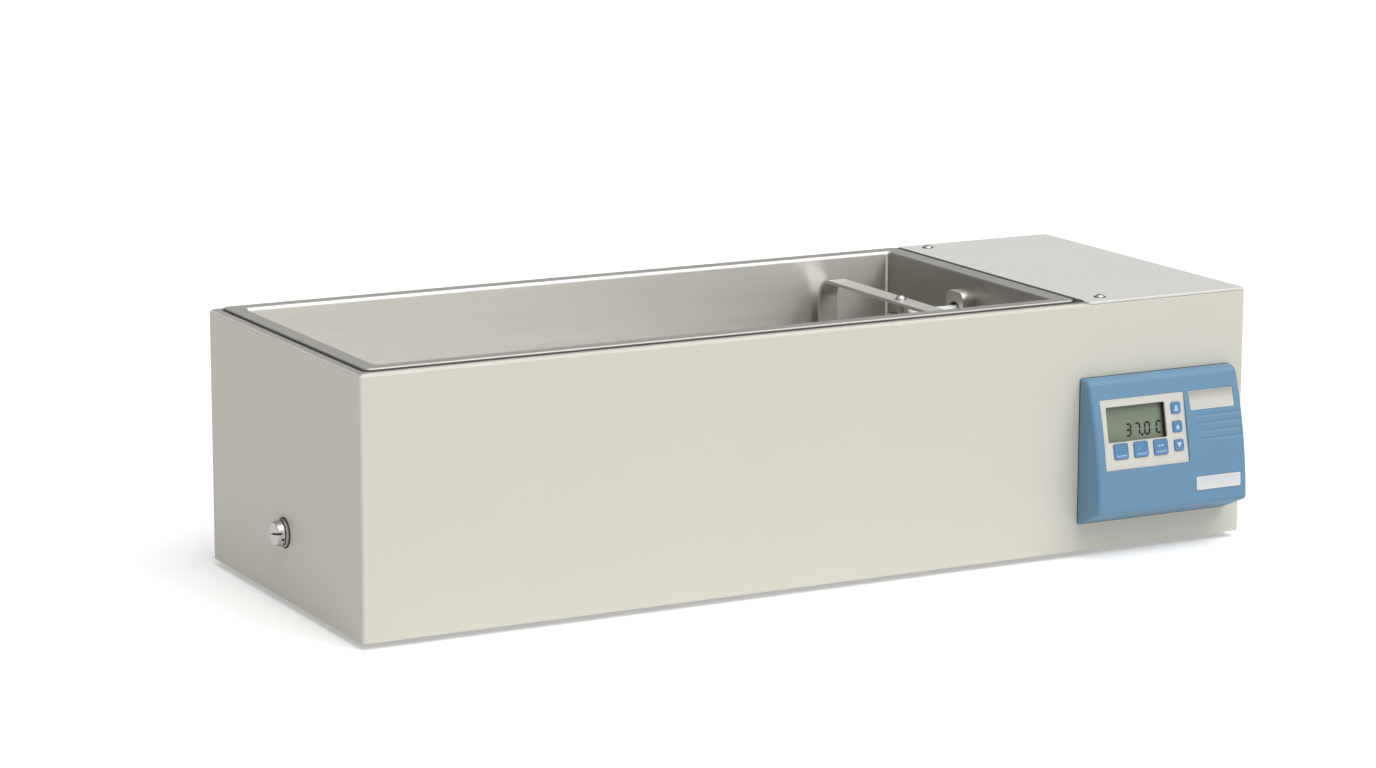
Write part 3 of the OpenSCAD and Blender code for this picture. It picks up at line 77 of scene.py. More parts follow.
def set_camera():
    a, e, roll = CAMERA_AZIMUTH, CAMERA_DROP, CAMERA_ROLL
    forward = Vector((math.sin(a) * math.cos(e), math.cos(a) * math.cos(e), -math.sin(e)))
    right = Vector((math.cos(a), -math.sin(a), 0.0))
    up = right.cross(forward)
    tilted = math.cos(roll) * right + math.sin(roll) * up
    upright = math.cos(roll) * up - math.sin(roll) * right
    data = bpy.data.cameras.new("camera")
    data.lens = CAMERA_LENS
    data.sensor_width = SENSOR_WIDTH
    data.sensor_fit = "HORIZONTAL"
    data.clip_start = CLIP_NEAR
    data.clip_end = CLIP_FAR
    camera = bpy.data.objects.new("camera", data)
    turn = Matrix((tilted, upright, -forward)).transposed().to_4x4()
    camera.matrix_world = Matrix.Translation(CAMERA_AT) @ turn
    SCENE.collection.objects.link(camera)
    SCENE.camera = camera


# Two tones of a colour, a part darker and a part lighter
def tones(color, share):
    dark = tuple(c * (1.0 - share) for c in color[:3]) + (1.0,)
    light = tuple(min(1.0, c * (1.0 + share)) for c in color[:3]) + (1.0,)
    return dark, light


# A material with its Principled shader, and short calls that add nodes to it
class Finish:
    def __init__(self, name, color, roughness, metallic=0.0):
        self.material = bpy.data.materials.new(name)
        self.material.use_nodes = True
        self.tree = self.material.node_tree
        self.shader = self.tree.nodes["Principled BSDF"]
        self.set("Base Color", color)
        self.set("Roughness", roughness)
        self.set("Metallic", metallic)
        self.place = self.node("ShaderNodeTexCoord").outputs["Object"]

    def node(self, kind, **settings):
        made = self.tree.nodes.new(kind)
        for name, value in settings.items():
            setattr(made, name, value)
        return made

    def set(self, socket, value):
        self.shader.inputs[socket].default_value = value

    def link(self, output, target):
        self.tree.links.new(output, target)

    def feed(self, output, socket):
        self.link(output, self.shader.inputs[socket])

    def stretched(self, scale):
        mapping = self.node("ShaderNodeMapping")
        mapping.inputs["Scale"].default_value = scale
        self.link(self.place, mapping.inputs["Vector"])
        return mapping.outputs["Vector"]

    def noise(self, scale, detail=2.0, vector=None, rough=0.5):
        made = self.node("ShaderNodeTexNoise")
        made.inputs["Scale"].default_value = scale
        made.inputs["Detail"].default_value = detail
        made.inputs["Roughness"].default_value = rough
        self.link(vector or self.place, made.inputs["Vector"])
        return made.outputs["Fac"]

    def spread(self, output, low, high, from_low=0.0, from_high=1.0):
        made = self.node("ShaderNodeMapRange")
        made.inputs["From Min"].default_value = from_low
        made.inputs["From Max"].default_value = from_high
        made.inputs["To Min"].default_value = low
        made.inputs["To Max"].default_value = high
        self.link(output, made.inputs["Value"])
        return made.outputs["Result"]

    def math(self, operation, a, b=0.0):
        made = self.node("ShaderNodeMath", operation=operation)
        for i, value in enumerate((a, b)):
            if isinstance(value, (int, float)):
                made.inputs[i].default_value = value
            else:
                self.link(value, made.inputs[i])
        return made.outputs["Value"]

    def mix(self, factor, a, b):
        made = self.node("ShaderNodeMix", data_type="RGBA")
        for i, value in ((0, factor), (6, a), (7, b)):
            if isinstance(value, (int, float, tuple)):
                made.inputs[i].default_value = value
            else:
                self.link(value, made.inputs[i])
        return made.outputs[2]

    # The colour in soft clouds of two tones
    def clouded(self, color, share, scale=14.0, detail=2.0):
        return self.mix(self.noise(scale, detail), *tones(color, share))

    # Roughness in fine spots, from less below to more above its mean
    def spotted(self, scale, roughness, less, more):
        self.feed(self.spread(self.noise(scale), roughness - less, roughness + more),
                  "Roughness")

    def bump(self, height, distance, strength=0.3):
        made = self.node("ShaderNodeBump")
        made.inputs["Strength"].default_value = strength
        made.inputs["Distance"].default_value = distance
        self.link(height, made.inputs["Height"])
        self.feed(made.outputs["Normal"], "Normal")


# Texture scales are per metre and bump depths in metres
PEEL_SCALE, PEEL_DEPTH = 1500.0, 0.00002
TOOL_SCALE, TOOL_DEPTH = 600.0, 0.000006
BRUSH_SCALE = 1300.0
SHEEN_SCALE = 1200.0
SMOOTH, SATIN = 0.000002, 0.00001


# Powder coat: an even colour with a fine orange peel
def powder_coat(name, color, roughness=0.5):
    paint = Finish(name, color, roughness)
    paint.feed(paint.clouded(color, 0.012, scale=6.0, detail=3.0), "Base Color")
    paint.spotted(420.0, roughness, less=0.05, more=0.07)
    paint.bump(paint.noise(PEEL_SCALE), PEEL_DEPTH, strength=0.35)
    return paint.material


# A face looks along an axis where its normal has more than this share of it
FACING = 0.7
# How far the gloss is drawn out across the lines
DRAWN_OUT = 0.8


# Brushed sheet: the lines run level on the long walls, upright on the end walls and
# along X on flat faces, and the gloss is drawn out across them. The end walls carry
# painted shade: their colour is made darker by the given share.
def brushed(name, color, roughness, line=0.08, cut=0.000012, flat_gloss=0.8, end_painted_shade=0.0):
    sheet = Finish(name, color, roughness, metallic=1.0)
    walls = sheet.noise(1.0, 4.0, sheet.stretched((5.0, 5.0, BRUSH_SCALE)), rough=0.7)
    ends = sheet.noise(1.0, 4.0, sheet.stretched((5.0, BRUSH_SCALE, 5.0)), rough=0.7)
    normal = sheet.node("ShaderNodeSeparateXYZ")
    sheet.link(sheet.node("ShaderNodeNewGeometry").outputs["True Normal"],
               normal.inputs["Vector"])

    def share(axis):
        return sheet.math("ABSOLUTE", normal.outputs[axis])
    flat = sheet.math("GREATER_THAN", share("Z"), FACING)
    end = sheet.math("LESS_THAN", share("Y"), FACING)
    lines = sheet.node("ShaderNodeMix")
    sheet.link(end, lines.inputs[0])
    sheet.link(walls, lines.inputs[2])
    sheet.link(ends, lines.inputs[3])
    grain = lines.outputs[0]
    tint = sheet.mix(grain, *tones(color, line))
    cloudy = sheet.spread(sheet.noise(7.0, 3.0), 0.95, 1.03)
    # Painted shade: faces that look along X are made darker
    if end_painted_shade:
        end_shade = sheet.math("MULTIPLY", sheet.math("GREATER_THAN", share("X"), FACING),
                          end_painted_shade)
        cloudy = sheet.math("SUBTRACT", cloudy, end_shade)
    shade = sheet.node("ShaderNodeVectorMath", operation="SCALE")
    sheet.link(tint, shade.inputs[0])
    sheet.link(cloudy, shade.inputs["Scale"])
    sheet.feed(shade.outputs["Vector"], "Base Color")
    rough = sheet.spread(grain, roughness - 0.06, roughness + 0.08)
    smoother = sheet.math("MULTIPLY", flat, 1.0 - flat_gloss)
    sheet.feed(sheet.math("MULTIPLY", rough, sheet.math("SUBTRACT", 1.0, smoother)),
               "Roughness")
    sheet.bump(grain, cut, strength=0.35)
    sheet.set("Anisotropic", DRAWN_OUT)
    across = sheet.node("ShaderNodeMix", data_type="VECTOR")
    sheet.link(end, across.inputs[0])
    across.inputs[4].default_value = (0.0, 0.0, 1.0)
    across.inputs[5].default_value = (0.0, 1.0, 0.0)
    sheet.feed(across.outputs[1], "Tangent")
    return sheet.material


# Moulded plastic or rubber with a fine spark-eroded grain
def moulded(name, color, roughness, grain=900.0, depth=0.00003, mottle=0.02):
    plastic = Finish(name, color, roughness)
    plastic.feed(plastic.clouded(color, mottle), "Base Color")
    plastic.spotted(grain, roughness, less=0.05, more=0.05)
    plastic.bump(plastic.noise(grain, 3.0), depth)
    return plastic.material


# Turned or plated metal with faint tool marks
def turned(name, color, roughness):
    metal = Finish(name, color, roughness, metallic=1.0)
    metal.feed(metal.clouded(color, 0.05, scale=60.0, detail=3.0), "Base Color")
    metal.spotted(TOOL_SCALE, roughness, less=0.04, more=0.06)
    metal.bump(metal.noise(TOOL_SCALE), TOOL_DEPTH)
    return metal.material


# The keypad plate's own axes: X along the casing, Y up the slope, Z outwards
PLATE_TILT = math.radians(12.0)
PLATE_T = 2.0
PLATE_RIGHT = Vector((1.0, 0.0, 0.0))
PLATE_UP = Vector((0.0, math.sin(PLATE_TILT), math.cos(PLATE_TILT)))
PLATE_OUT = Vector((0.0, -math.cos(PLATE_TILT), math.sin(PLATE_TILT)))
PLATE_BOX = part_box("keypad_plate")
PLATE_CENTRE = (PLATE_BOX[0] + PLATE_BOX[1]) / 2 + PLATE_OUT * (PLATE_T / 2 * MM)
WINDOW = Vector((-7.25, 8.6))
WINDOW_W, WINDOW_H = 60.8, 30.5
CELL_FACE = -5.35
# Painted shade of the window's right wall on the display: it turns browner and darker
# from the first to the second distance from its right end
WINDOW_SHADE_FROM, WINDOW_SHADE_TO = 3.0, 0.8
# Share of a plate's height where the painted shadow of its pocket's top edge begins
TOP_SHADE_FROM = 0.45


def on_plate(x, y, z):
    return PLATE_CENTRE + (PLATE_RIGHT * x + PLATE_UP * y + PLATE_OUT * z) * MM


# Display glass: grey-green, with painted shade that makes it browner and darker along
# its right end, where the window's recess throws its shadow
def display_glass(name, color, window_shade_color):
    glass = Finish(name, color, 0.3)
    face = glass.clouded(color, 0.03)
    place = glass.node("ShaderNodeSeparateXYZ")
    glass.link(glass.place, place.inputs["Vector"])
    right_end = PLATE_CENTRE.x + (WINDOW.x + WINDOW_W / 2) * MM
    # Painted shade: the share of the shadow colour grows towards the right end
    edge = glass.spread(place.outputs["X"], 0.0, 1.0, right_end - WINDOW_SHADE_FROM * MM,
                        right_end - WINDOW_SHADE_TO * MM)
    glass.feed(glass.mix(edge, face, window_shade_color), "Base Color")
    glass.bump(glass.noise(SHEEN_SCALE), SMOOTH)
    return glass.material


# A plate with a painted shadow: darker towards its top edge, where the edge of its pocket
# shades it
def shaded_plate(name, node, color, top_shadow_color, roughness):
    plate = Finish(name, color, roughness)
    face = plate.clouded(color, 0.02)
    place = plate.node("ShaderNodeSeparateXYZ")
    plate.link(plate.place, place.inputs["Vector"])
    low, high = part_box(node)
    start = low.z + TOP_SHADE_FROM * (high.z - low.z)
    # Painted shadow: the share of the darker colour rises towards the top edge
    up = plate.spread(place.outputs["Z"], 0.0, 1.0, start, high.z)
    plate.feed(plate.mix(up, face, top_shadow_color), "Base Color")
    plate.bump(plate.noise(SHEEN_SCALE), SATIN)
    return plate.material


# The finishes of the record's material slots
FINISHES = {
    "painted_steel": powder_coat("painted_steel", seen(213, 210, 197)),
    "galvanised_steel": brushed("galvanised_steel", seen(190, 192, 194), 0.42),
    "screw_steel": turned("screw_steel", seen(190, 190, 188), 0.3),
    "rubber": moulded("rubber", seen(38, 38, 38), 0.8),
    # The stainless end walls carry painted shade
    "stainless": brushed("stainless", seen(222, 220, 213), 0.4, end_painted_shade=0.4),
    "stainless_bar": brushed("stainless_bar", seen(214, 212, 205), 0.36, line=0.04,
                             cut=0.000003, flat_gloss=1.1),
    "insulation": moulded("insulation", seen(214, 200, 150), 0.95, grain=300.0,
                          depth=0.0005, mottle=0.1),
    "blue_plastic": moulded("blue_plastic", seen(102, 142, 172), 0.5),
    "cream_plastic": moulded("cream_plastic", seen(211, 209, 200), 0.5, SHEEN_SCALE, SATIN),
    "display": display_glass("display", seen(122, 134, 114), seen(84, 78, 70)),
    "black_plastic": moulded("black_plastic", seen(26, 25, 24), 0.5),
    "circuit_board": moulded("circuit_board", seen(30, 92, 58), 0.4),
    "key_rubber": moulded("key_rubber", seen(86, 133, 174), 0.45),
    "silver_plate": shaded_plate("silver_plate", "upper_plate", seen(206, 204, 197),
                                 seen(160, 156, 147), 0.42),
    "white_plate": shaded_plate("white_plate", "lower_plate", seen(216, 219, 220),
                                seen(206, 210, 212), 0.4),
    "plated_brass": turned("plated_brass", seen(186, 184, 178), 0.36),
    "white_plastic": moulded("white_plastic", seen(236, 236, 231), 0.4),
    "cast_aluminium": turned("cast_aluminium", seen(190, 192, 194), 0.4),
    "bronze": turned("bronze", seen(190, 148, 90), 0.35),
    "machined_steel": turned("machined_steel", seen(150, 150, 150), 0.3),
    "grey_paint": powder_coat("grey_paint", seen(78, 80, 84), 0.45),
    "heater_sheath": turned("heater_sheath", seen(96, 92, 88), 0.45),
}
# Finishes of marks and trim, of painted light and shade, and of nodes that differ from
# their slot
DISPLAY_INK = moulded("display_ink", seen(8, 7, 6), 0.4, SHEEN_SCALE, SMOOTH)
KEY_INK = moulded("key_ink", seen(204, 220, 231), 0.5, SHEEN_SCALE, SMOOTH)
# A painted highlight for the lips of the large keys
KEY_LIP_HIGHLIGHT = moulded("key_lip_highlight", seen(176, 206, 227), 0.4, SHEEN_SCALE, SMOOTH)
# A painted highlight for the borders of the name plates
PLATE_EDGE_HIGHLIGHT = moulded("plate_edge_highlight", seen(226, 225, 220), 0.35, SHEEN_SCALE, SMOOTH)
# Painted light: the top cover is lighter and cooler than the casing, as if lit from above
COVER_PAINTED_LIGHT = powder_coat("cover_painted_light", seen(223, 222, 217))
# Painted shade: dark rubber laid where gaps, steps and joints are in shadow
SHADE_RUBBER = moulded("shade_rubber", seen(60, 58, 54), 0.7)
DULL_PLATING = turned("dull_plating", seen(150, 148, 141), 0.45)
# Painted shade for the inside of the drain plug's slot and cross hole
PLUG_RECESS_SHADE = turned("plug_recess_shade", seen(70, 67, 62), 0.6)
NODE_FINISHES = {"top_cover": COVER_PAINTED_LIGHT, "drain_fitting": DULL_PLATING}

BODY_OF = {node: body for body, nodes in frame["record"]["behaviour"]["bodies"].items()
           for node in nodes}
SLOT_OF = {part["node"]: part["material_slot"] for part in frame["record"]["subparts"]}


def dress_nodes():
    for node, slot in SLOT_OF.items():
        mesh = frame["nodes"][node].data
        mesh.materials.clear()
        mesh.materials.append(NODE_FINISHES.get(node, FINISHES[slot]))


# A finished piece: a mesh already in its place, on its body, dressed in its slot's finish
# unless other finishes are given
def add_piece(name, mesh, body, slot, *finishes):
    picks = [face.material_index for face in mesh.polygons]
    mesh.materials.clear()
    for finish in finishes or (FINISHES[slot],):
        mesh.materials.append(finish)
    for face, pick in zip(mesh.polygons, picks):
        face.material_index = min(pick, len(mesh.materials) - 1)
    piece = bpy.data.objects.new(name, mesh)
    SCENE.collection.objects.link(piece)
    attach(piece, body)
    return piece


# The mesh of an object with its modifiers, without the object
def baked(shape):
    bpy.context.view_layer.update()
    graph = bpy.context.evaluated_depsgraph_get()
    mesh = bpy.data.meshes.new_from_object(shape.evaluated_get(graph))
    bpy.data.objects.remove(shape)
    return mesh


SAME_POINT = 1e-6
FLAT_WITHIN = math.radians(0.5)


# A merged copy of a node's mesh, with its flat faces whole
def merged(node):
    form = bmesh.new()
    form.from_mesh(frame["nodes"][node].data)
    bmesh.ops.remove_doubles(form, verts=form.verts, dist=SAME_POINT)
    bmesh.ops.dissolve_limit(form, angle_limit=FLAT_WITHIN, verts=form.verts,
                             edges=form.edges)
    return form


def as_mesh(name, form):
    mesh = bpy.data.meshes.new(name)
    form.to_mesh(mesh)
    form.free()
    return mesh


# Closes the band between two rows of points with the same count
def join(form, low, high):
    for i in range(len(low)):
        j = (i + 1) % len(low)
        form.faces.new((low[i], low[j], high[j], high[i]))


EDGE_STEPS = 2
EDGE_ANGLE = math.radians(35.0)
NORMAL_WEIGHT = 80


# Rounds the sharp edges of a node's form and puts the piece in the node's place
def soften(node, name, radius, form=None, finishes=()):
    mesh = as_mesh(name, form or merged(node))
    mesh.shade_smooth()
    shape = bpy.data.objects.new(name + "_form", mesh)
    SCENE.collection.objects.link(shape)
    edges = shape.modifiers.new("edges", "BEVEL")
    edges.width = radius * MM
    edges.segments = EDGE_STEPS
    edges.limit_method = "ANGLE"
    edges.angle_limit = EDGE_ANGLE
    normals = shape.modifiers.new("normals", "WEIGHTED_NORMAL")
    normals.weight = NORMAL_WEIGHT
    piece = add_piece(name, baked(shape), BODY_OF[node], SLOT_OF[node], *finishes)
    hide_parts(node)


# A plate whose middle is set in, with a brighter border round it that is a painted
# highlight along its edge
def add_bordered_plate(node, name, border, sunk, radius):
    form = merged(node)
    front = max((face for face in form.faces if face.normal.y < -0.5),
                key=lambda face: face.calc_area())
    ring = bmesh.ops.inset_region(form, faces=[front], thickness=border * MM,
                                  depth=-sunk * MM, use_even_offset=True)
    # The border takes the painted highlight
    for face in ring["faces"]:
        face.material_index = 1
    soften(node, name, radius, form=form, finishes=(FINISHES[SLOT_OF[node]], PLATE_EDGE_HIGHLIGHT))


# The plug's slot and cross hole lie this far behind its face and inside this share of
# its radius. Their floors look along its axis by more than the last share.
PLUG_SLOT_FROM, PLUG_SLOT_TO = 0.4, 9.0
PLUG_SKIN = 0.93
PLUG_FLOOR = 0.9


# The drain plug with soft edges, and painted shade that makes its slot and cross hole
# dark
def add_plug():
    form = merged("drain_plug")
    low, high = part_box("drain_plug")
    axis = (low + high) / 2
    reach = max(high.y - low.y, high.z - low.z) / 2
    for face in form.faces:
        middle = face.calc_center_median()
        out = math.hypot(middle.y - axis.y, middle.z - axis.z)
        inward = face.normal.dot(Vector((0.0, middle.y - axis.y, middle.z - axis.z))) < 0.0
        sunk = low.x + PLUG_SLOT_FROM * MM < middle.x < low.x + PLUG_SLOT_TO * MM
        floor = abs(face.normal.x) > PLUG_FLOOR
        if sunk and out < PLUG_SKIN * reach and (inward or floor):
            face.material_index = 1
    soften("drain_plug", "drain_plug_body", radius=0.2, form=form,
           finishes=(FINISHES["plated_brass"], PLUG_RECESS_SHADE))


# Turns outlines into low raised shapes, on the plate unless place says elsewhere.
# rise gives the height of the surface under a point.
def raised_mesh(name, outlines, rise, thickness, place=on_plate):
    form = bmesh.new()
    for outline in outlines:
        top = [form.verts.new(place(x, y, rise(x, y) + thickness)) for x, y in outline]
        low = [form.verts.new(place(x, y, rise(x, y) - thickness)) for x, y in outline]
        form.faces.new(top)
        form.faces.new(list(reversed(low)))
        join(form, low, top)
    bmesh.ops.recalc_face_normals(form, faces=form.faces)
    return as_mesh(name, form)


# Share of a rib's width at its top
RIB_TOP = 0.6


# A low rib of even width that follows a path on the plate
def rib_mesh(name, path, width, rise, thickness):
    form = bmesh.new()
    rows = []
    for i, point in enumerate(path):
        along = Vector(path[min(i + 1, len(path) - 1)]) - Vector(path[max(i - 1, 0)])
        side = Vector((-along.y, along.x)).normalized() * (width / 2)
        row = []
        for out, up in ((-1, -1), (1, -1), (RIB_TOP, 1), (-RIB_TOP, 1)):
            x, y = point[0] + side.x * out, point[1] + side.y * out
            row.append(form.verts.new(on_plate(x, y, rise(x, y) + up * thickness)))
        rows.append(row)
    for low, high in zip(rows, rows[1:]):
        join(form, low, high)
    form.faces.new(rows[0])
    form.faces.new(list(reversed(rows[-1])))
    bmesh.ops.recalc_face_normals(form, faces=form.faces)
    mesh = as_mesh(name, form)
    mesh.shade_smooth()
    return mesh


# The display's figures: seven strokes a digit, each a bar with pointed ends
DIGIT_W, DIGIT_H = 4.7, 9.9
DIGIT_LEAN = 0.06
STROKE = 1.95
STROKE_GAP = 0.08
STROKES = {
    "top": ((0, 2), (1, 2)), "middle": ((0, 1), (1, 1)), "bottom": ((0, 0), (1, 0)),
    "upper_left": ((0, 1), (0, 2)), "upper_right": ((1, 1), (1, 2)),
    "lower_left": ((0, 0), (0, 1)), "lower_right": ((1, 0), (1, 1)),
}
DIGITS = {
    "3": ("top", "upper_right", "middle", "lower_right", "bottom"),
    "7": ("top", "upper_right", "lower_right"),
    "0": ("top", "upper_left", "upper_right", "lower_left", "lower_right", "bottom"),
    "C": ("top", "upper_left", "lower_left", "bottom"),
}
# Left edge of each figure from the window's left edge, and their common foot
FIGURES = (("3", 22.2), ("7", 31.3), ("0", 41.5), ("C", 53.6))
FIGURES_FOOT = 4.3
# The point's place from the same edge, and its half width as a share of a stroke
POINT_AT = 38.6
POINT_SHARE = 0.6
# Heights of the marks over their ground
FIGURE_RISE = 0.03
KEY_MARK_RISE = 0.06
ROCKER_MARK_RISE = 0.05


def stroke_outline(start, end):
    a, b = Vector(start), Vector(end)
    along = (b - a).normalized()
    side = Vector((-along.y, along.x)) * (STROKE / 2)
    a, b = a + along * STROKE_GAP, b - along * STROKE_GAP
    tip = along * (STROKE / 2)
    return [a, a + tip - side, b - tip - side, b, b - tip + side, a + tip + side]


def leaning(point, left):
    return (WINDOW.x - WINDOW_W / 2 + left + point.x + DIGIT_LEAN * point.y,
            WINDOW.y - WINDOW_H / 2 + FIGURES_FOOT + point.y)


def add_figures():
    outlines = []
    for digit, left in FIGURES:
        for stroke in DIGITS[digit]:
            ends = [(x * DIGIT_W, y * DIGIT_H / 2) for x, y in STROKES[stroke]]
            outlines.append([leaning(p, left) for p in stroke_outline(*ends)])
    half = STROKE * POINT_SHARE
    point = [(-half, -half), (half, -half), (half, half), (-half, half)]
    outlines.append([leaning(Vector(p), POINT_AT) for p in point])
    mesh = raised_mesh("display_figures", outlines, lambda x, y: CELL_FACE, FIGURE_RISE)
    add_piece("display_figures", mesh, "cabinet", "display", DISPLAY_INK)


# Key caps: name, centre and size on the plate, in millimetres
KEYS = (
    ("key_left", -26.0, -14.75, 14.5, 13.3), ("key_middle", -5.5, -14.75, 14.5, 13.3),
    ("key_right", 15.0, -14.75, 14.5, 13.3), ("key_up", 33.85, 17.4, 9.6, 9.6),
    ("key_select", 33.85, 1.2, 9.6, 9.6), ("key_down", 33.85, -15.0, 9.6, 9.6),
)
KEY_RISE = 1.3
KEY_BACK = -3.7
KEY_CORNER = 1.8
KEY_EDGE = 0.5
KEY_EDGE_STEPS = 4
KEY_SHARP = math.radians(50.0)
CORNER_STEPS = 6
LEAST_CORNER = 0.05
# A key wider than this is a large one
LARGE_KEY = 12.0
# The finger dish: its depth on large and small keys, the rings that draw it, and the
# shares of the half height where it is deepest and where its lower lip ends
DISH_DEPTHS = (0.75, 0.35)
DISH_RINGS, DISH_STEP = 15, 0.06
DISH_LOW, DISH_END = -0.5, -0.86


# Rounded rectangle about the middle, grown or shrunk by an offset
def rounded(w, h, r, offset=0.0):
    w, h, r = w / 2 + offset, h / 2 + offset, max(LEAST_CORNER, r + offset)
    points = []
    for quarter, (sx, sy) in enumerate(((1, 1), (-1, 1), (-1, -1), (1, -1))):
        for i in range(CORNER_STEPS + 1):
            a = math.pi / 2 * (quarter + i / CORNER_STEPS)
            points.append((sx * (w - r) + r * math.cos(a), sy * (h - r) + r * math.sin(a)))
    return points


# A finger dish that is deepest low down, so its lower lip faces up
def dish(w, h):
    depth = DISH_DEPTHS[0] if w > LARGE_KEY else DISH_DEPTHS[1]

    def height(x, y):
        u, v = x / (w / 2), y / (h / 2)
        if v < DISH_LOW:
            fall = min(1.0, max(0.0, (v - DISH_END) / (DISH_LOW - DISH_END)))
        else:
            fall = (1.0 - v) / (1.0 - DISH_LOW)
        side = max(0.0, 1.0 - abs(u) ** 5)
        return KEY_RISE - depth * max(0.0, fall) * side
    return height


def add_key(name, x, y, w, h):
    height = dish(w, h)
    rings = [(0.0, KEY_BACK), (0.0, KEY_RISE - KEY_EDGE)]
    for i in range(1, KEY_EDGE_STEPS + 1):
        a = math.pi / 2 / KEY_EDGE_STEPS * i
        rings.append((-KEY_EDGE * (1 - math.cos(a)),
                      KEY_RISE - KEY_EDGE + KEY_EDGE * math.sin(a)))
    form = bmesh.new()
    loops = [[form.verts.new(on_plate(x + px, y + py, z)) for px, py in
              rounded(w, h, KEY_CORNER, offset)] for offset, z in rings]
    brim = rounded(w, h, KEY_CORNER, rings[-1][0])
    for share in (1.0 - DISH_STEP * i for i in range(1, DISH_RINGS + 1)):
        loops.append([form.verts.new(on_plate(x + px * share, y + py * share,
                                              height(px * share, py * share)))
                      for px, py in brim])
    for low, high in zip(loops, loops[1:]):
        join(form, low, high)
    form.faces.new(loops[-1])
    form.faces.new(list(reversed(loops[0])))
    bmesh.ops.recalc_face_normals(form, faces=form.faces)
    mesh = as_mesh(name + "_cap", form)
    mesh.shade_smooth()
    mesh.set_sharp_from_angle(angle=KEY_SHARP)
    cap = add_piece(name + "_cap", mesh, BODY_OF[name], SLOT_OF[name])
    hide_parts(name)


# The bright line along the lower lip of a large key, turned up at its right end, is a
# painted highlight in a lighter blue: shares of the key's width from its middle, and
# millimetres from its foot
LIP_LINE = [(-0.34, 2.95), (-0.2, 2.85), (0.0, 2.8), (0.2, 2.85), (0.29, 3.0), (0.35, 3.4),
            (0.385, 4.0)]
LIP_WIDTH, LIP_THICKNESS, LIP_LIFT = 0.75, 0.1, 0.03


def add_lip(name, x, y, w, h):
    height = dish(w, h)
    path = [(x + w * share, y - h / 2 + up) for share, up in LIP_LINE]
    mesh = rib_mesh(name + "_lip", path, LIP_WIDTH,
                    lambda px, py: height(px - x, py - y) + LIP_LIFT, LIP_THICKNESS)
    add_piece(name + "_lip", mesh, BODY_OF[name], SLOT_OF[name], KEY_LIP_HIGHLIGHT)


# A rectangle w wide and h high round a point
def bar_outline(w, h, x=0.0, y=0.0):
    return [(x - w / 2, y - h / 2), (x + w / 2, y - h / 2), (x + w / 2, y + h / 2),
            (x - w / 2, y + h / 2)]


# Plain marks on the keys, in millimetres from each key's middle: an arrow up, an arrow
# down and small bars
KEY_MARKS = {
    "key_up": [[(-1.7, 0.1), (1.7, 0.1), (0.0, 2.4)], bar_outline(1.5, 1.1, 0.0, -0.5),
               [(-2.3, -2.5), (2.3, -2.5), (1.7, -1.1), (-1.7, -1.1)]],
    "key_down": [[(-2.3, 2.3), (-1.5, 0.4), (1.5, 0.4), (2.3, 2.3)],
                 [(-1.2, 0.4), (0.0, -2.4), (1.2, 0.4)]],
    "key_select": [bar_outline(2.6, 2.2, 0.0, -1.2), bar_outline(1.7, 1.2, 0.0, 0.5)],
    "key_right": [bar_outline(2.6, 0.9, -1.9, 1.1), bar_outline(2.4, 0.9, 1.4, 1.3)],
    "key_middle": [bar_outline(1.2, 0.7, -1.9, 1.1)],
}


def add_key_marks():
    for name, x, y, w, h in KEYS:
        if name not in KEY_MARKS:
            continue
        height = dish(w, h)
        outlines = [[(x + px, y + py) for px, py in shape] for shape in KEY_MARKS[name]]
        mesh = raised_mesh(name + "_mark", outlines,
                           lambda px, py: height(px - x, py - y), KEY_MARK_RISE)
        add_piece(name + "_mark", mesh, BODY_OF[name], SLOT_OF[name], KEY_INK)


# A strip of even section along the casing's Y; the section's points are X and Z
def strip_mesh(name, section, y0, y1):
    form = bmesh.new()
    ends = [[form.verts.new(in_case(x, y, z)) for x, z in section] for y in (y0, y1)]
    join(form, *ends)
    form.faces.new(ends[0])
    form.faces.new(list(reversed(ends[1])))
    bmesh.ops.recalc_face_normals(form, faces=form.faces)
    return as_mesh(name, form)


# Painted shade: a dark rubber strip in the gap between tank rim and cover, where the gap
# is in shadow
GAP_SHADE_SECTION = [(669.4, 216.85), (677.9, 216.85), (677.9, 217.9), (676.6, 218.5),
                (673.5, 218.9), (670.8, 218.8), (669.4, 218.4)]
GAP_SHADE_ENDS = (9.5, 310.5)


def add_cover_gap_shade():
    mesh = strip_mesh("cover_gap_shade", GAP_SHADE_SECTION, *GAP_SHADE_ENDS)
    add_piece("cover_gap_shade", mesh, "cabinet", "rubber", SHADE_RUBBER)


# A closed ring with a flat section. place turns a point across and a rise into space;
# offset and rise come in pairs round the section.
def ring_mesh(name, width, height, corner, section, place):
    form = bmesh.new()
    loops = [[form.verts.new(place(px, pz, rise)) for px, pz in
              rounded(width, height, corner, offset)] for offset, rise in section]
    for i, loop in enumerate(loops):
        join(form, loop, loops[(i + 1) % len(loops)])
    bmesh.ops.recalc_face_normals(form, faces=form.faces)
    return as_mesh(name, form)


# Painted shade: a thin dark ring between the console and the casing, where their joint
# is in shadow
CONSOLE_CORNER = 3.0
JOINT_SHADE_SECTION = [(0.35, 0.05), (0.35, 0.9), (-3.0, 0.9), (-3.0, 0.05)]


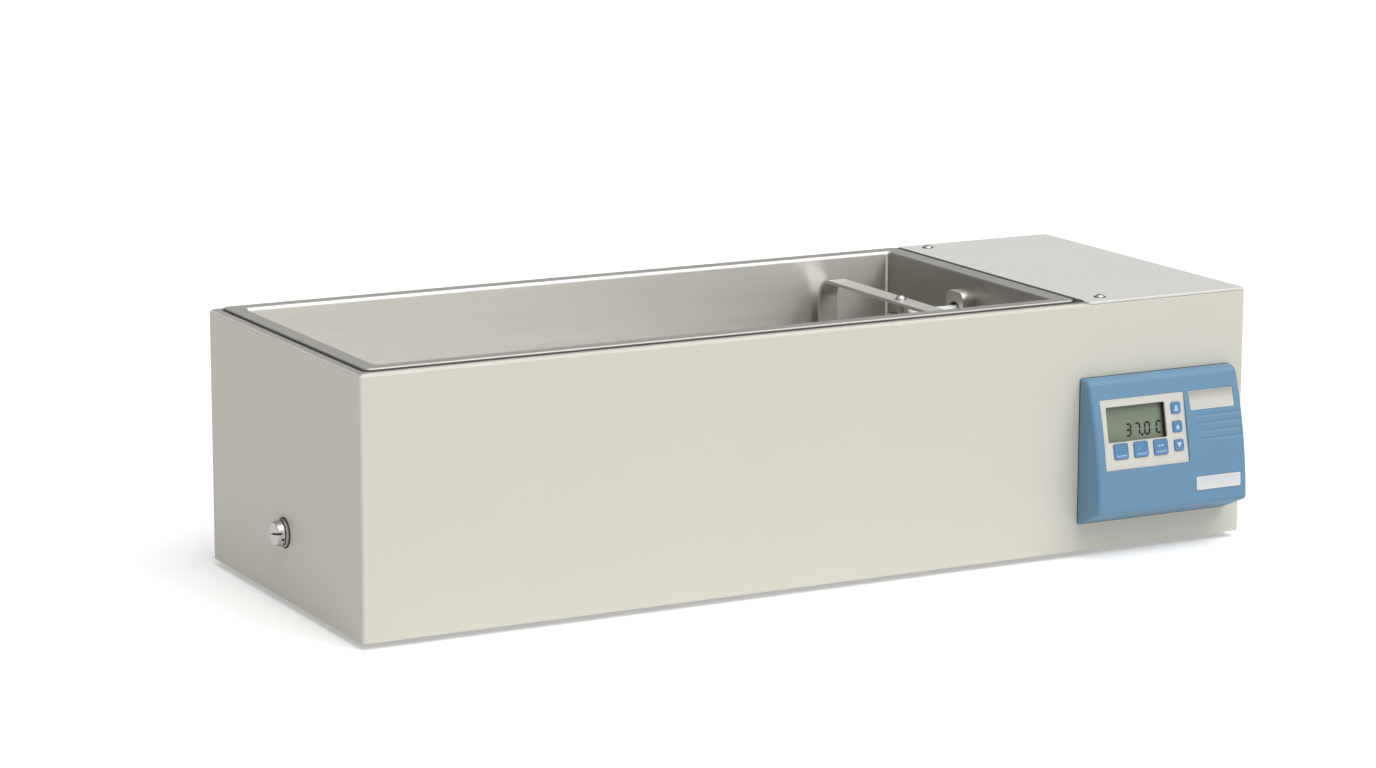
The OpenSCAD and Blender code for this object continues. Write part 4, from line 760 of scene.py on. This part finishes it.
def add_console_joint_shade():
    low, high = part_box("console_shell")
    middle = (low + high) / 2

    def place(x, z, rise):
        return Vector((middle.x + x * MM, CASING_LOW.y - rise * MM, middle.z + z * MM))
    mesh = ring_mesh("console_joint_shade", (high.x - low.x) / MM, (high.z - low.z) / MM,
                     CONSOLE_CORNER, JOINT_SHADE_SECTION, place)
    add_piece("console_joint_shade", mesh, "cabinet", "rubber", SHADE_RUBBER)


# Painted shade: a dark bead at the foot of the tank's raised rim, where the rim's step
# is in shadow
RIM_LENGTH, RIM_DEPTH = 660.0, 302.0
RIM_CORNER = 5.0
RIM_MIDDLE = (339.0, 160.0, 216.8)
STEP_SHADE_SECTION = [(0.02, 0.02), (1.7, 0.02), (1.3, 0.7), (0.6, 1.2), (0.02, 1.3)]


def add_rim_step_shade():
    def place(x, y, rise):
        return in_case(RIM_MIDDLE[0] + x, RIM_MIDDLE[1] + y, RIM_MIDDLE[2] + rise)
    mesh = ring_mesh("rim_step_shade", RIM_LENGTH, RIM_DEPTH, RIM_CORNER, STEP_SHADE_SECTION, place)
    add_piece("rim_step_shade", mesh, "cabinet", "rubber", SHADE_RUBBER)


# The marks of the power switch: a ring on the pad that is pressed in at rest, which
# is off, and a bar on the raised one
ROCKER_BAR = (0.7, 3.0)
ROCKER_RING, ROCKER_LINE = 3.0, 0.6
ROCKER_RING_SECTION = [(0.0, -ROCKER_MARK_RISE), (0.0, ROCKER_MARK_RISE),
                       (-ROCKER_LINE, ROCKER_MARK_RISE), (-ROCKER_LINE, -ROCKER_MARK_RISE)]


def add_rocker_marks():
    form = merged("switch_rocker")
    pads = sorted((face for face in form.faces if face.normal.y > 0.5),
                  key=lambda face: face.calc_area())[-2:]
    pads.sort(key=lambda face: face.calc_center_median().y)
    for pad, mark in zip(pads, ("off", "on")):
        middle, out = pad.calc_center_median(), pad.normal.copy()
        side = Vector((0.0, 0.0, 1.0)).cross(out).normalized()
        up = out.cross(side)

        def place(x, y, rise, middle=middle, side=side, up=up, out=out):
            return middle + (side * x + up * y + out * rise) * MM
        if mark == "on":
            mesh = raised_mesh("rocker_on", [bar_outline(*ROCKER_BAR)], lambda x, y: 0.0,
                               ROCKER_MARK_RISE, place)
        else:
            mesh = ring_mesh("rocker_off", ROCKER_RING, ROCKER_RING, ROCKER_RING / 2,
                             ROCKER_RING_SECTION, place)
        add_piece("rocker_" + mark, mesh, BODY_OF["switch_rocker"],
                  SLOT_OF["switch_rocker"], KEY_INK)
    form.free()


RING_STEPS, WIRE_STEPS = 48, 10


# Geometry Nodes tree: rings of round wire, stacked up and set out in a grid
def ring_grid():
    tree = bpy.data.node_groups.new("ring_grid", "GeometryNodeTree")
    sockets = {}
    for name, kind in (("Ring Radius", "Float"), ("Wire Radius", "Float"),
                       ("Columns", "Int"), ("Rows", "Int"), ("Layers", "Int"),
                       ("Pitch", "Vector"), ("First", "Vector"), ("Finish", "Material")):
        made = tree.interface.new_socket(name, in_out="INPUT",
                                         socket_type="NodeSocket" + kind)
        sockets[name] = made.identifier
    tree.interface.new_socket("Geometry", in_out="OUTPUT", socket_type="NodeSocketGeometry")
    given = tree.nodes.new("NodeGroupInput")

    def add(kind, inputs):
        node = tree.nodes.new("GeometryNode" + kind)
        for socket, source in inputs.items():
            if isinstance(source, bpy.types.NodeSocket):
                tree.links.new(source, node.inputs[socket])
            else:
                node.inputs[socket].default_value = source
        return node

    ring = add("CurvePrimitiveCircle", {"Resolution": RING_STEPS,
                                        "Radius": given.outputs["Ring Radius"]})
    wire = add("CurvePrimitiveCircle", {"Resolution": WIRE_STEPS,
                                        "Radius": given.outputs["Wire Radius"]})
    shape = add("CurveToMesh", {"Curve": ring.outputs["Curve"],
                                "Profile Curve": wire.outputs["Curve"]}).outputs["Mesh"]
    pitch = tree.nodes.new("ShaderNodeSeparateXYZ")
    tree.links.new(given.outputs["Pitch"], pitch.inputs["Vector"])
    for axis, count in (("Z", "Layers"), ("Y", "Rows"), ("X", "Columns")):
        step = tree.nodes.new("ShaderNodeCombineXYZ")
        tree.links.new(pitch.outputs[axis], step.inputs[axis])
        row = add("MeshLine", {"Count": given.outputs[count],
                               "Offset": step.outputs["Vector"]})
        set_out = add("InstanceOnPoints", {"Points": row.outputs["Mesh"],
                                           "Instance": shape})
        shape = add("RealizeInstances", {"Geometry": set_out.outputs["Instances"]}
                    ).outputs["Geometry"]
    moved = add("Transform", {"Geometry": shape, "Translation": given.outputs["First"]})
    smooth = add("SetShadeSmooth", {"Geometry": moved.outputs["Geometry"]})
    plain = add("RealizeInstances", {"Geometry": smooth.outputs["Geometry"]})
    dressed = add("SetMaterial", {"Geometry": plain.outputs["Geometry"],
                                  "Material": given.outputs["Finish"]})
    tree.links.new(dressed.outputs["Geometry"],
                   tree.nodes.new("NodeGroupOutput").inputs["Geometry"])
    return tree, sockets


RING_GRID, RING_SOCKETS = ring_grid()


# Rings in a grid on one body; lengths in millimetres, first centre on the casing
def add_rings(name, body, slot, finish, ring, wire, counts, pitch, first):
    shape = bpy.data.objects.new(name + "_form", bpy.data.meshes.new(name + "_form"))
    SCENE.collection.objects.link(shape)
    rings = shape.modifiers.new("rings", "NODES")
    rings.node_group = RING_GRID
    values = {"Ring Radius": ring * MM, "Wire Radius": wire * MM, "Columns": counts[0],
              "Rows": counts[1], "Layers": counts[2], "Pitch": Vector(pitch) * MM,
              "First": in_case(*first), "Finish": finish}
    for socket, value in values.items():
        rings[RING_SOCKETS[socket]] = value
    add_piece(name, baked(shape), body, slot, finish)


# Soft studio light: an even surround and one broad key from the front and above
SURROUND = 0.31
KEY_STRENGTH = 2.48
KEY_FROM = Vector((0.16, -0.5, 0.86))
KEY_SPREAD = math.radians(60.0)
# What polished faces mirror: the white studio in front, a dark room low behind, and
# the grade between them
MIRRORED_FROM = Vector((0.0, -0.8, 0.6))
MIRRORED_DIM = 0.08
DIM_BELOW, WHITE_ABOVE = -0.5, 0.25
WHITE = (1.0, 1.0, 1.0, 1.0)


def light_sun(name, source, strength, spread):
    data = bpy.data.lights.new(name, "SUN")
    data.energy = strength
    data.angle = spread
    lamp = bpy.data.objects.new(name, data)
    lamp.rotation_euler = source.to_track_quat("Z", "Y").to_euler()
    SCENE.collection.objects.link(lamp)


# Chains shader mixes, each picked by one of the light path's outputs
def pick_by_ray(tree, path, plain, choices):
    result = plain
    for output, shader in choices:
        pick = tree.nodes.new("ShaderNodeMixShader")
        tree.links.new(path.outputs[output], pick.inputs[0])
        tree.links.new(result, pick.inputs[1])
        tree.links.new(shader, pick.inputs[2])
        result = pick.outputs[0]
    return result


def set_world():
    world = bpy.data.worlds.new("studio")
    world.use_nodes = True
    SCENE.world = world
    tree = world.node_tree
    nodes = tree.nodes
    surround = nodes["Background"]
    surround.inputs["Color"].default_value = WHITE
    surround.inputs["Strength"].default_value = SURROUND
    white = nodes.new("ShaderNodeBackground")
    white.inputs["Color"].default_value = WHITE
    mirrored = nodes.new("ShaderNodeBackground")
    toward = nodes.new("ShaderNodeVectorMath")
    toward.operation = "DOT_PRODUCT"
    toward.inputs[1].default_value = MIRRORED_FROM.normalized()
    tree.links.new(nodes.new("ShaderNodeTexCoord").outputs["Generated"], toward.inputs[0])
    grade = nodes.new("ShaderNodeMapRange")
    grade.interpolation_type = "SMOOTHSTEP"
    grade.inputs["From Min"].default_value = DIM_BELOW
    grade.inputs["From Max"].default_value = WHITE_ABOVE
    grade.inputs["To Min"].default_value = MIRRORED_DIM
    grade.inputs["To Max"].default_value = 1.0
    tree.links.new(toward.outputs["Value"], grade.inputs["Value"])
    tree.links.new(grade.outputs["Result"], mirrored.inputs["Strength"])
    path = nodes.new("ShaderNodeLightPath")
    result = pick_by_ray(tree, path, surround.outputs[0], (
        ("Is Glossy Ray", mirrored.outputs[0]), ("Is Transmission Ray", white.outputs[0]),
        ("Is Camera Ray", white.outputs[0])))
    tree.links.new(result, nodes["World Output"].inputs["Surface"])


# The floor looks white, and keeps the object's shadow
FLOOR_HALF = 6.0
FLOOR_TONE = (0.93, 0.93, 0.93, 1.0)
FLOOR_ROUGHNESS = 0.9
FLOOR_LIFT = 0.3


def set_floor():
    mesh = bpy.data.meshes.new("floor")
    corners = ((-1, -1), (1, -1), (1, 1), (-1, 1))
    mesh.from_pydata([(x * FLOOR_HALF, y * FLOOR_HALF, 0) for x, y in corners], [],
                     [(0, 1, 2, 3)])
    ground = bpy.data.objects.new("floor", mesh)
    SCENE.collection.objects.link(ground)
    pale = bpy.data.materials.new("pale_floor")
    pale.use_nodes = True
    tree = pale.node_tree
    shader = tree.nodes["Principled BSDF"]
    shader.inputs["Base Color"].default_value = FLOOR_TONE
    shader.inputs["Roughness"].default_value = FLOOR_ROUGHNESS
    lift = tree.nodes.new("ShaderNodeMath")
    lift.operation = "MULTIPLY"
    lift.inputs[1].default_value = FLOOR_LIFT
    path = tree.nodes.new("ShaderNodeLightPath")
    either = tree.nodes.new("ShaderNodeMath")
    either.operation = "MAXIMUM"
    tree.links.new(path.outputs["Is Camera Ray"], either.inputs[0])
    tree.links.new(path.outputs["Is Glossy Ray"], either.inputs[1])
    tree.links.new(either.outputs[0], lift.inputs[0])
    shader.inputs["Emission Color"].default_value = WHITE
    tree.links.new(lift.outputs[0], shader.inputs["Emission Strength"])
    mesh.materials.append(pale)


set_camera()
set_world()
light_sun("key", KEY_FROM, KEY_STRENGTH, KEY_SPREAD)
set_floor()
dress_nodes()
soften("hanger", "hanger_bar", radius=0.5)
soften("guide_block", "guide_block_body", radius=0.5)
soften("keypad_plate", "keypad_plate_body", radius=0.3)
add_bordered_plate("upper_plate", "upper_plate_body", border=0.7, sunk=0.12, radius=0.1)
add_bordered_plate("lower_plate", "lower_plate_body", border=1.1, sunk=0.15, radius=0.12)
soften("console_shell", "console_housing", radius=0.35)
add_plug()
add_figures()
for key in KEYS:
    add_key(*key)
    if key[3] > LARGE_KEY:
        add_lip(*key)
add_key_marks()
add_rim_step_shade()
add_cover_gap_shade()
add_console_joint_shade()
add_rocker_marks()
# Painted shade: dark rings under the cover's screw heads, where they are in shadow
add_rings("cover_screw_shade_rings", "cabinet", "rubber", SHADE_RUBBER, ring=5.0, wire=0.35,
          counts=(1, 2, 1), pitch=(0, 285, 0), first=(700, 17.5, 218.2))
add_rings("flow_hole_collars", "carriage", "stainless", FINISHES["stainless"], ring=11.4,
          wire=0.6, counts=(8, 3, 1), pitch=(60, 60, 0), first=(127, 100, 74.1))
add_rings("foot_ribs", "cabinet", "rubber", FINISHES["rubber"], ring=13.9, wire=0.5,
          counts=(2, 2, 2), pitch=(728, 208, 2), first=(56, 56, -4))

SCENE.view_settings.view_transform = "Standard"
